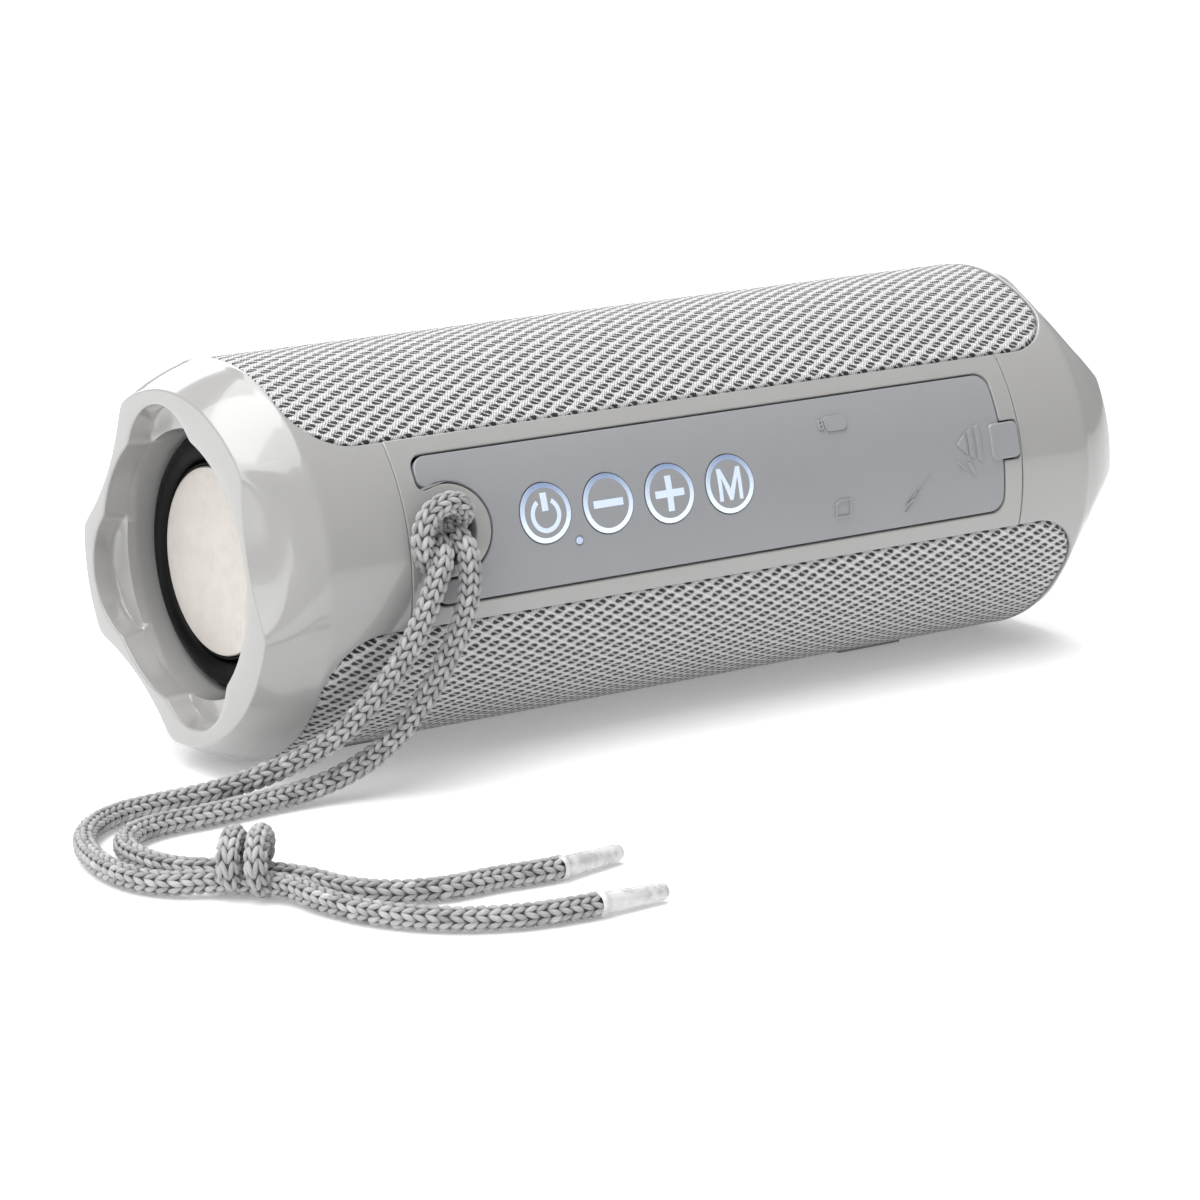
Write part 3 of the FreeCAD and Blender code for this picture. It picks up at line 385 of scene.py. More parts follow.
def spun_disc():
    """Satin champagne metal with faint concentric tool marks and a little dust."""
    paint = Paint("disc_satin", Metallic=0.55)
    spot = paint.add("TexCoord", out=3)
    _, depth, height = paint.add("SeparateXYZ", sockets={0: spot}).node.outputs
    height = paint.math("SUBTRACT", height, AXIS_HEIGHT * MM)
    reach = paint.math("SQRT", paint.total(paint.times(depth, depth), paint.times(height, height)))
    rings = paint.math("SINE", paint.times(reach, TOOL_MARKS))
    cloud = paint.noise(260.0, 5.0)
    paint.link("Base_Color", paint.mix(cloud, (0.52, 0.49, 0.455, 1), (0.63, 0.60, 0.565, 1)))
    paint.link("Roughness", paint.between(paint.noise(700.0), 0.3, 0.7, 0.38, 0.5))
    paint.bump(paint.total(rings, cloud), 0.000008)
    return paint.material


MESH_LONG, MESH_WIDE = 2.3, 1.21
HOLE_LONG, HOLE_WIDE = 0.44, 0.345


def knit():
    """Open mesh knitted from pale yarn: slanted ridges between dark holes split by a thin thread."""
    paint = Paint("knit_fabric", Roughness=0.82, Sheen_Weight=0.25, Sheen_Roughness=0.45)
    place = paint.add("UVMap", uv_map="weave")
    x, arc, _ = paint.add("SeparateXYZ", sockets={0: place}).node.outputs
    wander = paint.times(paint.math("SUBTRACT", paint.noise(0.35, 2.0, place), 0.5), 0.6)
    along = paint.math("DIVIDE", paint.total(x, wander), MESH_LONG)
    across = paint.math("DIVIDE", paint.math("SUBTRACT", arc, wander), MESH_WIDE)
    rising = paint.times(paint.total(along, across), 0.5)
    falling = paint.times(paint.math("SUBTRACT", along, across), 0.5)
    lengthwise = paint.math("PINGPONG", rising, 0.5)
    crosswise = paint.math("PINGPONG", falling, 0.5)
    fuzz = paint.noise(3.4, 4.0, place, 0.65)
    ragged = paint.total(paint.math("POWER", paint.math("DIVIDE", lengthwise, HOLE_LONG), 2.0),
                         paint.math("POWER", paint.math("DIVIDE", crosswise, HOLE_WIDE), 2.0),
                         paint.times(paint.math("SUBTRACT", fuzz, 0.5), 1.5))
    thread = paint.total(lengthwise, paint.times(fuzz, 0.05))
    dark = paint.times(paint.between(ragged, 0.72, 1.02, 1.0, 0.0), paint.between(thread, 0.065, 0.105))
    strands = paint.math("SINE", paint.total(paint.times(rising, 17.0), paint.times(falling, 34.0)))
    ridge = paint.between(crosswise, 0.22, 0.48)
    saddle = paint.between(lengthwise, 0.30, 0.50)
    height = paint.total(paint.times(ridge, 0.4), paint.times(saddle, 0.65),
                         paint.times(strands, 0.20), paint.times(fuzz, 0.6))
    # Painted shade: the yarn is lighter where the bump rises and darker in the low parts towards the holes;
    # fuzz adds random tone.
    tone = paint.total(paint.times(ridge, 0.14), paint.times(saddle, 0.26),
                       paint.times(fuzz, 0.75), paint.times(strands, 0.20))
    yarn = paint.mix(tone, grey(0.30), grey(0.98))
    paint.link("Base_Color", paint.mix(dark, yarn, grey(0.010)))
    paint.bump(height, 0.00042)
    return paint.material


def braid_yarn(name, light, deep):
    """Twisted yarn: fine filaments along each stitch, a little colour from stitch to stitch and the painted
    shade read from the tone attribute.
    """
    paint = Paint(name, Roughness=0.7, Sheen_Weight=0.3, Sheen_Roughness=0.4)
    place = paint.add("UVMap", uv_map="weave")
    stretched = paint.add("Mapping", sockets={0: place, 3: (1.4, 9.0, 1.0)})
    filaments = paint.noise(2.4, 3.0, stretched)
    tone = paint.add("Attribute", out=2, attribute_name="tone")
    share = paint.total(paint.times(tone, 0.75), paint.times(filaments, 0.4))
    paint.link("Base_Color", paint.mix(share, deep, light))
    paint.bump(filaments, 0.00012)
    return paint.material


def lit_legend():
    """Backlit print with painted shade: whiter where the tone is high, bluer and dimmer where it is low."""
    paint = Paint("legend_light", Roughness=0.3, Emission_Strength=0.18)
    # Painted shade: the keys set this tone higher towards their bottoms and lower towards their tops.
    painted_shade = paint.add("Attribute", out=2, attribute_name="tone")
    speckle = paint.times(paint.noise(1500.0), 0.08)
    colour = paint.mix(paint.total(painted_shade, speckle), (0.15, 0.21, 0.36, 1), (0.74, 0.84, 0.97, 1))
    paint.link("Base_Color", colour)
    paint.link("Emission_Color", colour)
    paint.link("Roughness", paint.between(speckle, 0.02, 0.06, 0.25, 0.4))
    return paint.material


def milky_tip():
    """Clear film shrunk over the cord's end: cloudy, glossy, faintly wrinkled."""
    paint = Paint("tip_plastic", Coat_Weight=0.5, Coat_Roughness=0.15)
    spot = paint.add("TexCoord", out=3)
    cloud = paint.noise(420.0, 4.0, spot)
    paint.link("Base_Color", paint.mix(paint.between(cloud, 0.3, 0.7), grey(0.46), grey(0.66)))
    paint.link("Roughness", paint.between(cloud, 0.3, 0.7, 0.2, 0.42))
    paint.bump(cloud, 0.00018)
    return paint.material


BOARD = circuit_board()
DISC = spun_disc()
KNIT = knit()
YARN = braid_yarn("cord_braid", grey(0.56), grey(0.14))
# A core painted near black: painted shade seen in the gaps between the stitches.
CORE_SHADE = braid_yarn("cord_core_shade", grey(0.09), grey(0.03))
LEGEND = lit_legend()
TIP = milky_tip()


# ---- lanyard ----
# One cord folded in two: its bight goes over the pin behind the hole and round both strands,
# the strands fall to the floor, turn back through a double knot and end in two sealed tips.

FLOOR = 2.35
LOOP = [strip_point(-61.2, -0.8, 29.6), strip_point(-60.3, 0.8, 36.0),
        strip_point(-61.0, 3.6, 40.0), strip_point(-65.0, 4.9, 40.6),
        strip_point(-69.2, 3.2, 40.3), strip_point(-71.3, -0.8, 40.0),
        strip_point(-70.6, -5.2, 38.6), strip_point(-67.0, -6.4, 35.4),
        strip_point(-65.0, -3.4, 30.6)]
STRAND_A = [(-65.5, -29.7, 45.2), (-66.2, -36.2, 45.9), (-67.6, -40.8, 43.4),
            (-70.9, -41.8, 37.6), (-73.9, -41.6, 31.0), (-77.6, -40.6, 24.5),
            (-83.0, -38.8, 17.4), (-89.5, -36.0, 11.2), (-98.5, -31.5, 6.6),
            (-108.5, -27.2, 3.4), (-118.0, -24.2, FLOOR), (-127.5, -25.2, FLOOR),
            (-135.5, -30.0, FLOOR), (-141.0, -38.0, FLOOR), (-144.2, -48.5, FLOOR),
            (-144.2, -58.8, FLOOR), (-140.6, -66.0, FLOOR), (-135.0, -69.6, 3.0)]
STRAND_B = [(-62.5, -29.5, 45.8), (-62.6, -36.1, 46.9), (-62.4, -40.8, 44.2),
            (-62.9, -42.0, 38.0), (-64.4, -42.0, 31.5), (-67.8, -41.7, 25.0),
            (-72.0, -40.9, 18.2), (-77.0, -39.3, 11.6), (-83.5, -36.8, 6.2),
            (-92.5, -34.6, 3.0), (-103.0, -34.2, FLOOR), (-114.0, -35.4, FLOOR),
            (-124.5, -34.8, FLOOR), (-132.3, -37.8, FLOOR), (-136.8, -44.6, FLOOR),
            (-137.0, -53.0, FLOOR), (-134.4, -60.0, FLOOR), (-131.0, -65.0, 3.0)]
TAIL_A = [(-125.2, -79.0, 3.0), (-124.4, -89.0, FLOOR), (-121.2, -98.6, FLOOR),
          (-115.4, -106.8, FLOOR), (-107.2, -112.6, FLOOR), (-97.4, -115.9, FLOOR),
          (-87.4, -116.6, FLOOR)]
TAIL_B = [(-121.0, -76.6, 3.0), (-118.2, -85.0, FLOOR), (-112.4, -91.8, FLOOR),
          (-103.8, -95.0, FLOOR), (-94.6, -94.9, FLOOR), (-88.0, -96.2, FLOOR),
          (-81.2, -96.6, FLOOR)]
TIP_A_END = (-74.2, -116.2, 1.9)
TIP_B_END = (-67.6, -94.2, 1.9)
SLEEVE_OVERLAP = 1.6


def spline_line(route):
    """Points in metres read along one smooth NURBS spline drawn by a route in millimetres."""
    curve = bpy.data.curves.new("route", "CURVE")
    curve.dimensions = "3D"
    curve.resolution_u = 14
    spline = curve.splines.new("NURBS")
    spline.points.add(len(route) - 1)
    for point, place in zip(spline.points, route):
        point.co = (place[0] * MM, place[1] * MM, place[2] * MM, 1.0)
    spline.order_u = 3
    spline.use_endpoint_u = True
    holder = bpy.data.objects.new("route", curve)
    bpy.context.scene.collection.objects.link(holder)
    line = bpy.data.meshes.new_from_object(holder)
    points = np.array([v.co[:] for v in line.vertices])
    bpy.data.objects.remove(holder)
    bpy.data.curves.remove(curve)
    bpy.data.meshes.remove(line)
    return points


class Path:
    """A line with two cross directions at every point that turn about it as little as they can."""

    def __init__(self, points, spacing=0.0004):
        lengths = np.r_[0, np.cumsum(np.linalg.norm(np.diff(points, axis=0), axis=1))]
        self.length = lengths[-1]
        count = max(8, int(self.length / spacing))
        self.at = np.linspace(0, self.length, count)
        self.points = np.stack([np.interp(self.at, lengths, points[:, i]) for i in range(3)], 1)
        ahead = np.gradient(self.points, axis=0)
        ahead /= np.linalg.norm(ahead, axis=1)[:, None]
        self.across = np.zeros_like(ahead)
        side = np.cross(ahead[0], (0.0, 0.0, 1.0))
        if np.linalg.norm(side) < 0.1:
            side = np.cross(ahead[0], (0.0, 1.0, 0.0))
        for i in range(count):
            side = side - ahead[i] * side.dot(ahead[i])
            side /= np.linalg.norm(side)
            self.across[i] = side
        self.over = np.cross(ahead, self.across)

    def place(self, distance, angle, reach):
        """Points at a distance along the line, an angle round it and a reach from it."""
        shape = distance.shape
        flat = distance.ravel()
        middle, across, over = [
            np.stack([np.interp(flat, self.at, values[:, i]) for i in range(3)], 1)
            for values in (self.points, self.across, self.over)]
        turn, far = angle.ravel()[:, None], reach.ravel()[:, None]
        return (middle + (across * np.cos(turn) + over * np.sin(turn)) * far).reshape(*shape, 3)


STITCH_COLUMNS = 5
STITCH_PITCH = 0.00196
STITCH_LONG, STITCH_WIDE, STITCH_HIGH = 0.00142, 0.00058, 0.00046
STITCH_LEAN = math.radians(31)
CORE_DEPTH, CORE_SPACING, CORE_SIDES = 0.00062, 0.0012, 12


def capped_tubes(count, rings, around, first=0):
    """Faces of several closed tubes whose points follow one another from the first vertex."""
    size = rings * around
    starts = first + np.arange(count) * size
    quads = grid_faces(rings, around, closed=True)
    ends = [list(range(around))[::-1], list(range(size - around, size))]
    faces = (quads[None] + starts[:, None, None]).reshape(-1, 4).tolist()
    return faces + [[v + start for v in end] for start in starts.tolist() for end in ends]


def braid(name, path, radius, spin, seed):
    """A round knitted cord: columns of V-shaped stitches over a core painted dark as the shade between
    them, all lengths in metres.
    """
    draws = np.random.default_rng(seed)
    row, column, side = np.meshgrid(np.arange(int(path.length / STITCH_PITCH)),
                                    np.arange(STITCH_COLUMNS), (-1, 1), indexing="ij")
    row, column, side = [v.ravel()[:, None, None] for v in (row, column, side)]
    legs, rings, around = len(row), 7, 6
    t = np.linspace(-1, 1, rings)[None, :, None]
    ring = (np.arange(around) * 2 * math.pi / around)[None, None, :]
    girth = np.sqrt(np.clip(1 - (t * 0.97) ** 2, 0, 1)) ** 0.8
    sway = draws.normal(0, 1, (legs, 1, 1))
    lengthwise = t * STITCH_LONG
    sideways = girth * STITCH_WIDE * (1 + 0.06 * sway) * np.cos(ring)
    sine, cosine = math.sin(STITCH_LEAN), math.cos(STITCH_LEAN)
    middle = (row + 0.5 + 0.03 * sway) * STITCH_PITCH
    distance = middle + lengthwise * cosine + sideways * sine * side
    column_arc = 2 * math.pi * radius / STITCH_COLUMNS
    offset = side * (column_arc * 0.25 - lengthwise * sine + sideways * cosine * side)
    crown = radius - STITCH_HIGH - 0.00030 * t ** 2 - 0.00012 * (t > 0.4)
    reach = crown + girth * STITCH_HIGH * np.sin(ring) * (1 + 0.05 * sway)
    angle = spin + column * 2 * math.pi / STITCH_COLUMNS + offset / radius
    places = path.place(np.clip(distance, 0, path.length), angle, reach)
    core_rows = max(8, int(path.length / CORE_SPACING))
    core_at, core_ring = np.meshgrid(np.linspace(0, path.length, core_rows),
                                     np.arange(CORE_SIDES) * 2 * math.pi / CORE_SIDES, indexing="ij")
    core = path.place(core_at, core_ring, np.full(core_at.shape, radius - CORE_DEPTH))
    faces = capped_tubes(legs, rings, around)
    yarn_faces = len(faces)
    faces += capped_tubes(1, core_rows, CORE_SIDES, first=legs * rings * around)
    points = np.concatenate([places.reshape(-1, 3), core.reshape(-1, 3)])
    piece = add_mesh(name, points, faces, YARN)
    piece.data.materials.append(CORE_SHADE)
    slots = np.zeros(len(faces), np.int32)
    slots[yarn_faces:] = 1
    piece.data.polygons.foreach_set("material_index", slots)
    # Painted shade: each stitch is darker towards its ends; sway adds random tone from stitch to stitch.
    shade = np.clip(0.55 + 0.14 * sway - 0.25 * t ** 2, 0, 1)
    u, v, shade = np.broadcast_arrays(t + row * 1.7, ring / math.pi + column, shade)
    pairs = np.stack([u, v], -1).reshape(-1, 2)
    set_uv(piece.data, np.concatenate([pairs, np.zeros((core_at.size, 2))]))
    set_tone(piece.data, np.concatenate([shade.ravel(), np.full(core_at.size, 0.3)]))
    return piece


def shrunk_tip(name, start, end, seed):
    """A clear sleeve shrunk on the cord's end: it swells over the braid and pinches at the tip."""
    a, b = np.array(start) * MM, np.array(end) * MM
    a = a - (b - a) / np.linalg.norm(b - a) * SLEEVE_OVERLAP * MM
    steps, around = 40, 28
    path = Path(np.linspace(a, b, 12))
    draws = np.random.default_rng(seed)
    share, ring = np.meshgrid(np.linspace(0, 1, steps), np.arange(around) * 2 * math.pi / around,
                              indexing="ij")
    wave = sum(draws.uniform(0.01, 0.03) * np.sin(k * ring + share * draws.uniform(4, 16) + k)
               for k in (2, 3, 5))
    body = np.interp(share, [0, 0.04, 0.12, 0.8, 0.94, 0.985, 1.0],
                     [1.90, 2.40, 1.90, 1.56, 1.46, 1.1, 0.35])
    points = path.place(share * path.length, ring, body * (1 + wave) * MM)
    faces = grid_faces(steps, around, closed=True).tolist()
    faces.append(list(range((steps - 1) * around, steps * around)))
    return add_mesh(name, points, faces, TIP)


def double_knot():
    """Two turns of the cord pulled tight round both strands, leaning over each other."""
    middle = np.array((-128.2, -72.2, 6.0))
    along = np.array((0.70, -0.71, 0.0))
    across = np.array((0.71, 0.70, 0.0))
    turns = []
    for index, (shift, slant, wide, high, spin) in enumerate(
            ((-3.1, 1.0, 5.3, 3.7, 0.4), (1.6, 1.6, 5.9, 4.1, 0.9))):
        angle = np.linspace(-0.5 * math.pi - 0.2, 1.5 * math.pi + 0.2, 90)
        reach = np.cos(angle)[:, None] * across * wide
        rise = np.sin(angle)[:, None] * np.array((0, 0, high))
        drift = (shift + slant * 2.2 * (angle / (2 * math.pi) - 0.25))[:, None] * along
        line = middle + reach + rise + drift
        line[:, 2] = np.maximum(line[:, 2], FLOOR)
        path = Path(line * MM)
        turns.append(braid("knot_turn", path, 0.00215, spin=spin, seed=20 + index))
    return joined("lanyard_knot_wraps", turns)


def lanyard():
    """The hitch, the two strands with their tails, the knot and the tips."""
    knot = double_knot()
    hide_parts("lanyard_knot")
    hitch_path = Path(spline_line(LOOP))
    hitch = braid("lanyard_hitch", hitch_path, CORD_RADIUS * MM, spin=0.35, seed=3)
    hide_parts("lanyard_loop")
    for letter, strand, tail, end, spin in (("a", STRAND_A, TAIL_A, TIP_A_END, 0.2),
                                            ("b", STRAND_B, TAIL_B, TIP_B_END, 0.5)):
        path = Path(spline_line(strand + tail))
        tip = shrunk_tip("lanyard_end_" + letter, tail[-1], end, 11)
        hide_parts("lanyard_tip_" + letter)
        cord = braid("lanyard_cord_" + letter, path, CORD_RADIUS * MM, spin=spin, seed=5)
        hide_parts("lanyard_strand_" + letter, "lanyard_tail_" + letter)


lanyard()


# ---- end caps ----

RIM, SHOULDER, SHOULDER_ARC = 100.0, 89.0, 36.0
SCALLOP_RADIUS, SCALLOP_START, VALLEY_RADIUS = 80.0, 92.5, 27.0
SCALLOP_SLOPE = math.atan2(TUBE_RADIUS - VALLEY_RADIUS, RIM - SCALLOP_START)
SCALLOP_ANGLES = [math.radians(angle) for angle in (0, 135, -135)]
FUNNEL_RADIUS, BORE_RADIUS, BORE_START = 25.6, 24.6, 90.0
POCKET_RADIUS, POCKET_CENTRE, POCKET_DEPTH = 12.5, 17.5, 4.5
POCKET_ANGLES = [math.radians(angle) for angle in (180, 86, -86)]
SHOULDER_SLOPE = math.radians(13.58)
MELT_AT, MELT_WIDTH = [90.0, 95.0, RIM], [7.0, 5.5, 1.6]
MELT_START, MELT_RUN = 88.0, 3.0
WINDOW_EDGE, SEAM_EDGE, RIM_EDGE, LIP_EDGE = 0.45, 0.12, 0.55, 0.35
RIM_LEAN = math.radians(50)


def smooth_least(a, b, width):
    """The smaller of two values, rounded over where they cross."""
    share = np.clip(0.5 + 0.5 * (b - a) / width, 0, 1)
    return b * (1 - share) + a * share - width * share * (1 - share)


def shoulder(x):
    """Radius of the cap's round shoulder over a lobe: an arc that leaves the tube at a slope."""
    run = np.clip(x - SHOULDER, 0, None)
    sine, cosine = math.sin(SHOULDER_SLOPE), math.cos(SHOULDER_SLOPE)
    fall = np.sqrt(np.clip(1 - (run / SHOULDER_ARC + sine) ** 2, 0, 1)) / cosine
    return TUBE_RADIUS + cosine * SHOULDER_ARC * (fall - 1)


def from_nearest(turn, angles):
    """Signed angle from the nearest of several directions round the tube."""
    gaps = np.stack([(turn - angle + math.pi) % (2 * math.pi) - math.pi for angle in angles])
    return np.take_along_axis(gaps, np.abs(gaps).argmin(axis=0)[None], axis=0)[0]


def scallop(x, turn):
    """Radius of the finger scallop, turn being the angle from its middle."""
    low = np.full(np.broadcast(x, turn).shape, 15.0)
    high = np.full(low.shape, 90.0)
    sine, cosine = math.sin(SCALLOP_SLOPE), math.cos(SCALLOP_SLOPE)
    reach = np.where(np.abs(turn) < math.pi / 3, turn, math.pi / 3)
    for _ in range(26):
        r = (low + high) / 2
        side = np.clip(np.abs(r * np.sin(reach)), 0, SCALLOP_RADIUS)
        rise = (x - SCALLOP_START) * sine + (r * np.cos(reach) - TUBE_RADIUS) * cosine
        outside = rise > SCALLOP_RADIUS - np.sqrt(SCALLOP_RADIUS ** 2 - side ** 2)
        high = np.where(outside, r, high)
        low = np.where(outside, low, r)
    return (low + high) / 2


def window_gap(x, arc):
    """Distance outwards from the rounded opening that the fabric fills."""
    beyond_end = np.abs(x) - (FABRIC_END - WINDOW_CORNER)
    beyond_side = HALF_TURN - np.abs(arc) - (WINDOW_REACH - WINDOW_CORNER)
    corner = np.hypot(np.clip(beyond_end, 0, None), np.clip(beyond_side, 0, None))
    return corner + np.clip(np.maximum(beyond_end, beyond_side), None, 0) - WINDOW_CORNER


def rolled(gap, radius):
    """Fall of a rounded edge at a distance from it."""
    inside = np.clip(radius - gap, 0, radius)
    return radius - np.sqrt(radius ** 2 - inside ** 2)


def cap_columns():
    """Arc positions of the cap's mesh columns with the x where each one starts."""
    columns = [(arc, SEAM) for arc in np.linspace(0, FRAME_EDGE - 0.6, 22)]
    columns += [(FRAME_EDGE - short, SEAM) for short in (0.42, 0.28, 0.17, 0.08, 0.02, 0.0)]
    for angle in np.linspace(0.02, math.pi / 2, 18):
        columns.append((FRAME_EDGE + WINDOW_CORNER * (1 - math.cos(angle)),
                        FABRIC_END - WINDOW_CORNER * (1 - math.sin(angle))))
    first = FRAME_EDGE + WINDOW_CORNER
    columns += [(arc, FABRIC_END) for arc in np.linspace(first, HALF_TURN, 130)[1:]]
    mirrored = [(-arc, start) for arc, start in columns[1:-1]][::-1]
    return np.array(mirrored + columns)


def cap_outside(x, arc, from_valley):
    """Radius of the outside: shoulder and scallops melted together, edges rolled over."""
    melt = np.interp(x, MELT_AT, MELT_WIDTH)
    blended = smooth_least(shoulder(x), scallop(x, from_valley), melt)
    ease = np.clip((x - MELT_START) / MELT_RUN, 0, 1)
    ease = ease * ease * (3 - 2 * ease)
    radius = TUBE_RADIUS + (np.minimum(blended, TUBE_RADIUS) - TUBE_RADIUS) * ease
    gap = np.maximum(window_gap(x, arc), 0)
    return radius - np.maximum(rolled(gap, WINDOW_EDGE), rolled(np.clip(x - SEAM, 0, None), SEAM_EDGE))


def pocket_lip(from_pocket):
    """Radius of the opening's edge on the rim's face, pushed outwards by the crescent pockets."""
    pocket = POCKET_CENTRE * np.cos(from_pocket) + np.sqrt(np.clip(
        POCKET_RADIUS ** 2 - (POCKET_CENTRE * np.sin(from_pocket)) ** 2, 0, None))
    pocket = np.where(np.abs(from_pocket) < math.pi / 4, pocket, 0)
    return -smooth_least(-pocket, np.full_like(from_pocket, -FUNNEL_RADIUS), 0.8)


def end_cap(side, turned):
    """A glossy cap: skirt, three scallops, rim, crescent pockets and the funnel to the radiator."""
    word = "left" if side < 0 else "right"
    arc, start = cap_columns().T
    turn = arc / TUBE_RADIUS - turned
    from_valley = from_nearest(turn, SCALLOP_ANGLES)
    lip = pocket_lip(from_nearest(turn, POCKET_ANGLES))
    rows_x, rows_r = [], []

    def add_row(x, radius):
        rows_x.append(np.broadcast_to(x, arc.shape))
        rows_r.append(np.broadcast_to(radius, arc.shape))

    add_row(start, TUBE_RADIUS - 2.2)
    near_edge = (0.0, 0.02, 0.06, 0.12, 0.2, 0.32, 0.5, 0.8)
    last = RIM - RIM_EDGE * (1 - math.sin(RIM_LEAN))
    outside = [start + step for step in near_edge]
    outside += [outside[-1] + (last - start - near_edge[-1]) * share for share in np.linspace(0, 1, 46)[1:]]
    for x in outside:
        add_row(x, cap_outside(x, arc, from_valley))
    centre_x = last - RIM_EDGE * math.sin(RIM_LEAN)
    centre_r = rows_r[-1] - RIM_EDGE * math.cos(RIM_LEAN)
    for angle in np.linspace(RIM_LEAN, math.pi / 2, 6)[1:]:
        add_row(centre_x + RIM_EDGE * math.sin(angle), centre_r + RIM_EDGE * math.cos(angle))
    face_start = rows_r[-1]
    for share in (0.33, 0.66, 1.0):
        add_row(RIM, face_start + (lip + LIP_EDGE - face_start) * share)
    for angle in np.linspace(0, math.pi / 2, 5)[1:]:
        add_row(RIM - LIP_EDGE * (1 - math.cos(angle)), lip + LIP_EDGE * (1 - math.sin(angle)))
    floor_x = RIM - POCKET_DEPTH
    flare = (FUNNEL_RADIUS - BORE_RADIUS) / (RIM - BORE_START)
    funnel = BORE_RADIUS + flare * (floor_x - BORE_START)
    depth = np.clip((lip - FUNNEL_RADIUS) / 1.2, 0, 1)
    wall = funnel + (np.maximum(lip - 0.3, funnel) - funnel) * depth
    for share in (0.35, 0.7, 0.93):
        add_row(RIM - LIP_EDGE + (floor_x - RIM + LIP_EDGE) * share, lip + (wall - lip) * share)
    add_row(floor_x, wall * 0.94 + funnel * 0.06)
    add_row(floor_x - 0.25, wall * 0.4 + funnel * 0.6)
    add_row(floor_x - 0.5, funnel - 0.5 * flare)
    for x in (93.0, 91.0, BORE_START):
        add_row(x, BORE_RADIUS + flare * (x - BORE_START))
    add_row(86.0, BORE_RADIUS)
    x, radius = np.array(rows_x), np.array(rows_r)
    points = round_tube(side * x, np.broadcast_to(arc, x.shape), radius - TUBE_RADIUS)
    faces = grid_faces(len(x), len(arc), closed=True)
    if side > 0:
        faces = faces[:, ::-1]
    cap = add_mesh(word + "_cap_shell", points, faces, CAP_GLOSS, sharp=50)
    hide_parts(word + "_end_cap")


end_cap(-1, 0.0)
end_cap(1, math.pi)


# ---- fabric ----

def fabric():
    """The knitted sleeve, stretched round the tube and tucked under the frame and caps."""
    corner = np.linspace(0.02, math.pi / 2, 16)
    arcs = FRAME_EDGE + WINDOW_CORNER * (1 - np.cos(corner))
    ends = FABRIC_END - WINDOW_CORNER * (1 - np.sin(corner))
    straight = np.linspace(arcs[-1], HALF_TURN, 60)[1:]
    arc = np.concatenate([arcs, straight, 2 * HALF_TURN - straight[-2::-1], 2 * HALF_TURN - arcs[::-1]])
    end = np.concatenate([ends, np.full(2 * len(straight) - 1, FABRIC_END), ends[::-1]])
    near = np.array([0, 0.25, 0.5, 0.8, 1.2, 1.8])
    inner = np.linspace(0, 1, 121)
    rows = []
    for limit in end:
        rows.append(np.concatenate([-limit + near, (limit - 3) * (2 * inner[1:-1] - 1),
                                    limit - near[::-1]]))
    x = np.array(rows)
    around = np.broadcast_to(arc[:, None], x.shape)
    signed = np.where(around > HALF_TURN, around - 2 * HALF_TURN, around)
    gap = np.clip(-window_gap(x, signed), 0, None)
    lift = -0.12 - 0.75 * np.exp(-(gap / 0.45) ** 2)
    points = round_tube(x, around, lift)
    piece = add_mesh("fabric_sleeve", points, grid_faces(*x.shape), KNIT)
    set_uv(piece.data, np.stack([x, around], -1).reshape(-1, 2))
    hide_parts("grille_fabric")


fabric()


# ---- control strip ----

def strip_outline(grow):
    """The panel's outline round the lug; grow widens it to the frame's opening."""
    left, right, edge = PANEL_LEFT - grow, PANEL_RIGHT + grow, PANEL_EDGE + grow
    ring = LUG_RADIUS + LUG_GAP - grow
    foot = left + 0.9
    corners = [(right, edge, PANEL_CORNER), (left, edge, PANEL_CORNER), (left, TONGUE - grow, 1.6)]
    for angle in np.radians(np.linspace(112, -90, 29)):
        corners.append((LUG_X + ring * math.cos(angle), LUG_ARC + ring * math.sin(angle), 0.0))
    corners += [(foot, LUG_ARC - ring, 1.6), (foot, -edge, PANEL_CORNER), (right, -edge, PANEL_CORNER)]
    return fillet(corners)


def notched_outline():
    """The frame's opening, with the notch that the pull tab lies in."""
    start, end, half = PANEL_RIGHT + PANEL_GAP, TAB_END + 0.25, TAB_HALF + 0.35
    notch = fillet([(start, half, 0.0), (end, half, 0.6), (end, -half, 0.6), (start, -half, 0.0)], 4)
    return strip_outline(PANEL_GAP) + notch[::-1]


def strip_frame():
    """The glossy frame with its lug, the well behind the lug and the floor under the keypad."""
    end = SEAM - 0.15
    border = [(end, FRAME_EDGE), (-end, FRAME_EDGE), (-end, -FRAME_EDGE), (end, -FRAME_EDGE)]
    hole = circle(HOLE_X, LUG_ARC, HOLE_RADIUS)
    bezel = plate("strip_frame_shell", [border, notched_outline(), hole], -2.6, 0.0, 0.3,
                  CAP_GLOSS)
    sockets = [box_outline(USB, 7.0, 3.2, 0.6), box_outline(CARD, 7.0, 1.8, 0.5),
               box_outline(CHARGE, 5.0, 2.1, 1.6), circle(*JACK, 3.3, 40)]
    start, end, half = LUG_X + 11, PANEL_RIGHT + 1.5, PANEL_EDGE + 1.5
    shelf = [(end, half), (start, half), (start, -half), (end, -half)]
    plate("strip_floor", [shelf] + sockets, -4.3, -2.35, 0.15, CAP_GLOSS)
    steps, around = 14, 64
    share, ring = np.meshgrid(np.linspace(0, 1, steps), np.arange(around) * 2 * math.pi / around,
                              indexing="ij")
    radius = np.interp(share, [0, 0.1, 0.8, 0.93, 1.0], [HOLE_RADIUS, 6.45, 7.2, 6.0, 0.4])
    depth = np.interp(share, [0, 0.8, 0.93, 1.0], [-0.5, -9.6, -10.4, -10.6])
    points = round_tube(HOLE_X + radius * np.cos(ring), LUG_ARC + radius * np.sin(ring), depth)
    add_mesh("lug_well", points, grid_faces(steps, around, closed=True), CAP_GLOSS)
    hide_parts("strip_frame")


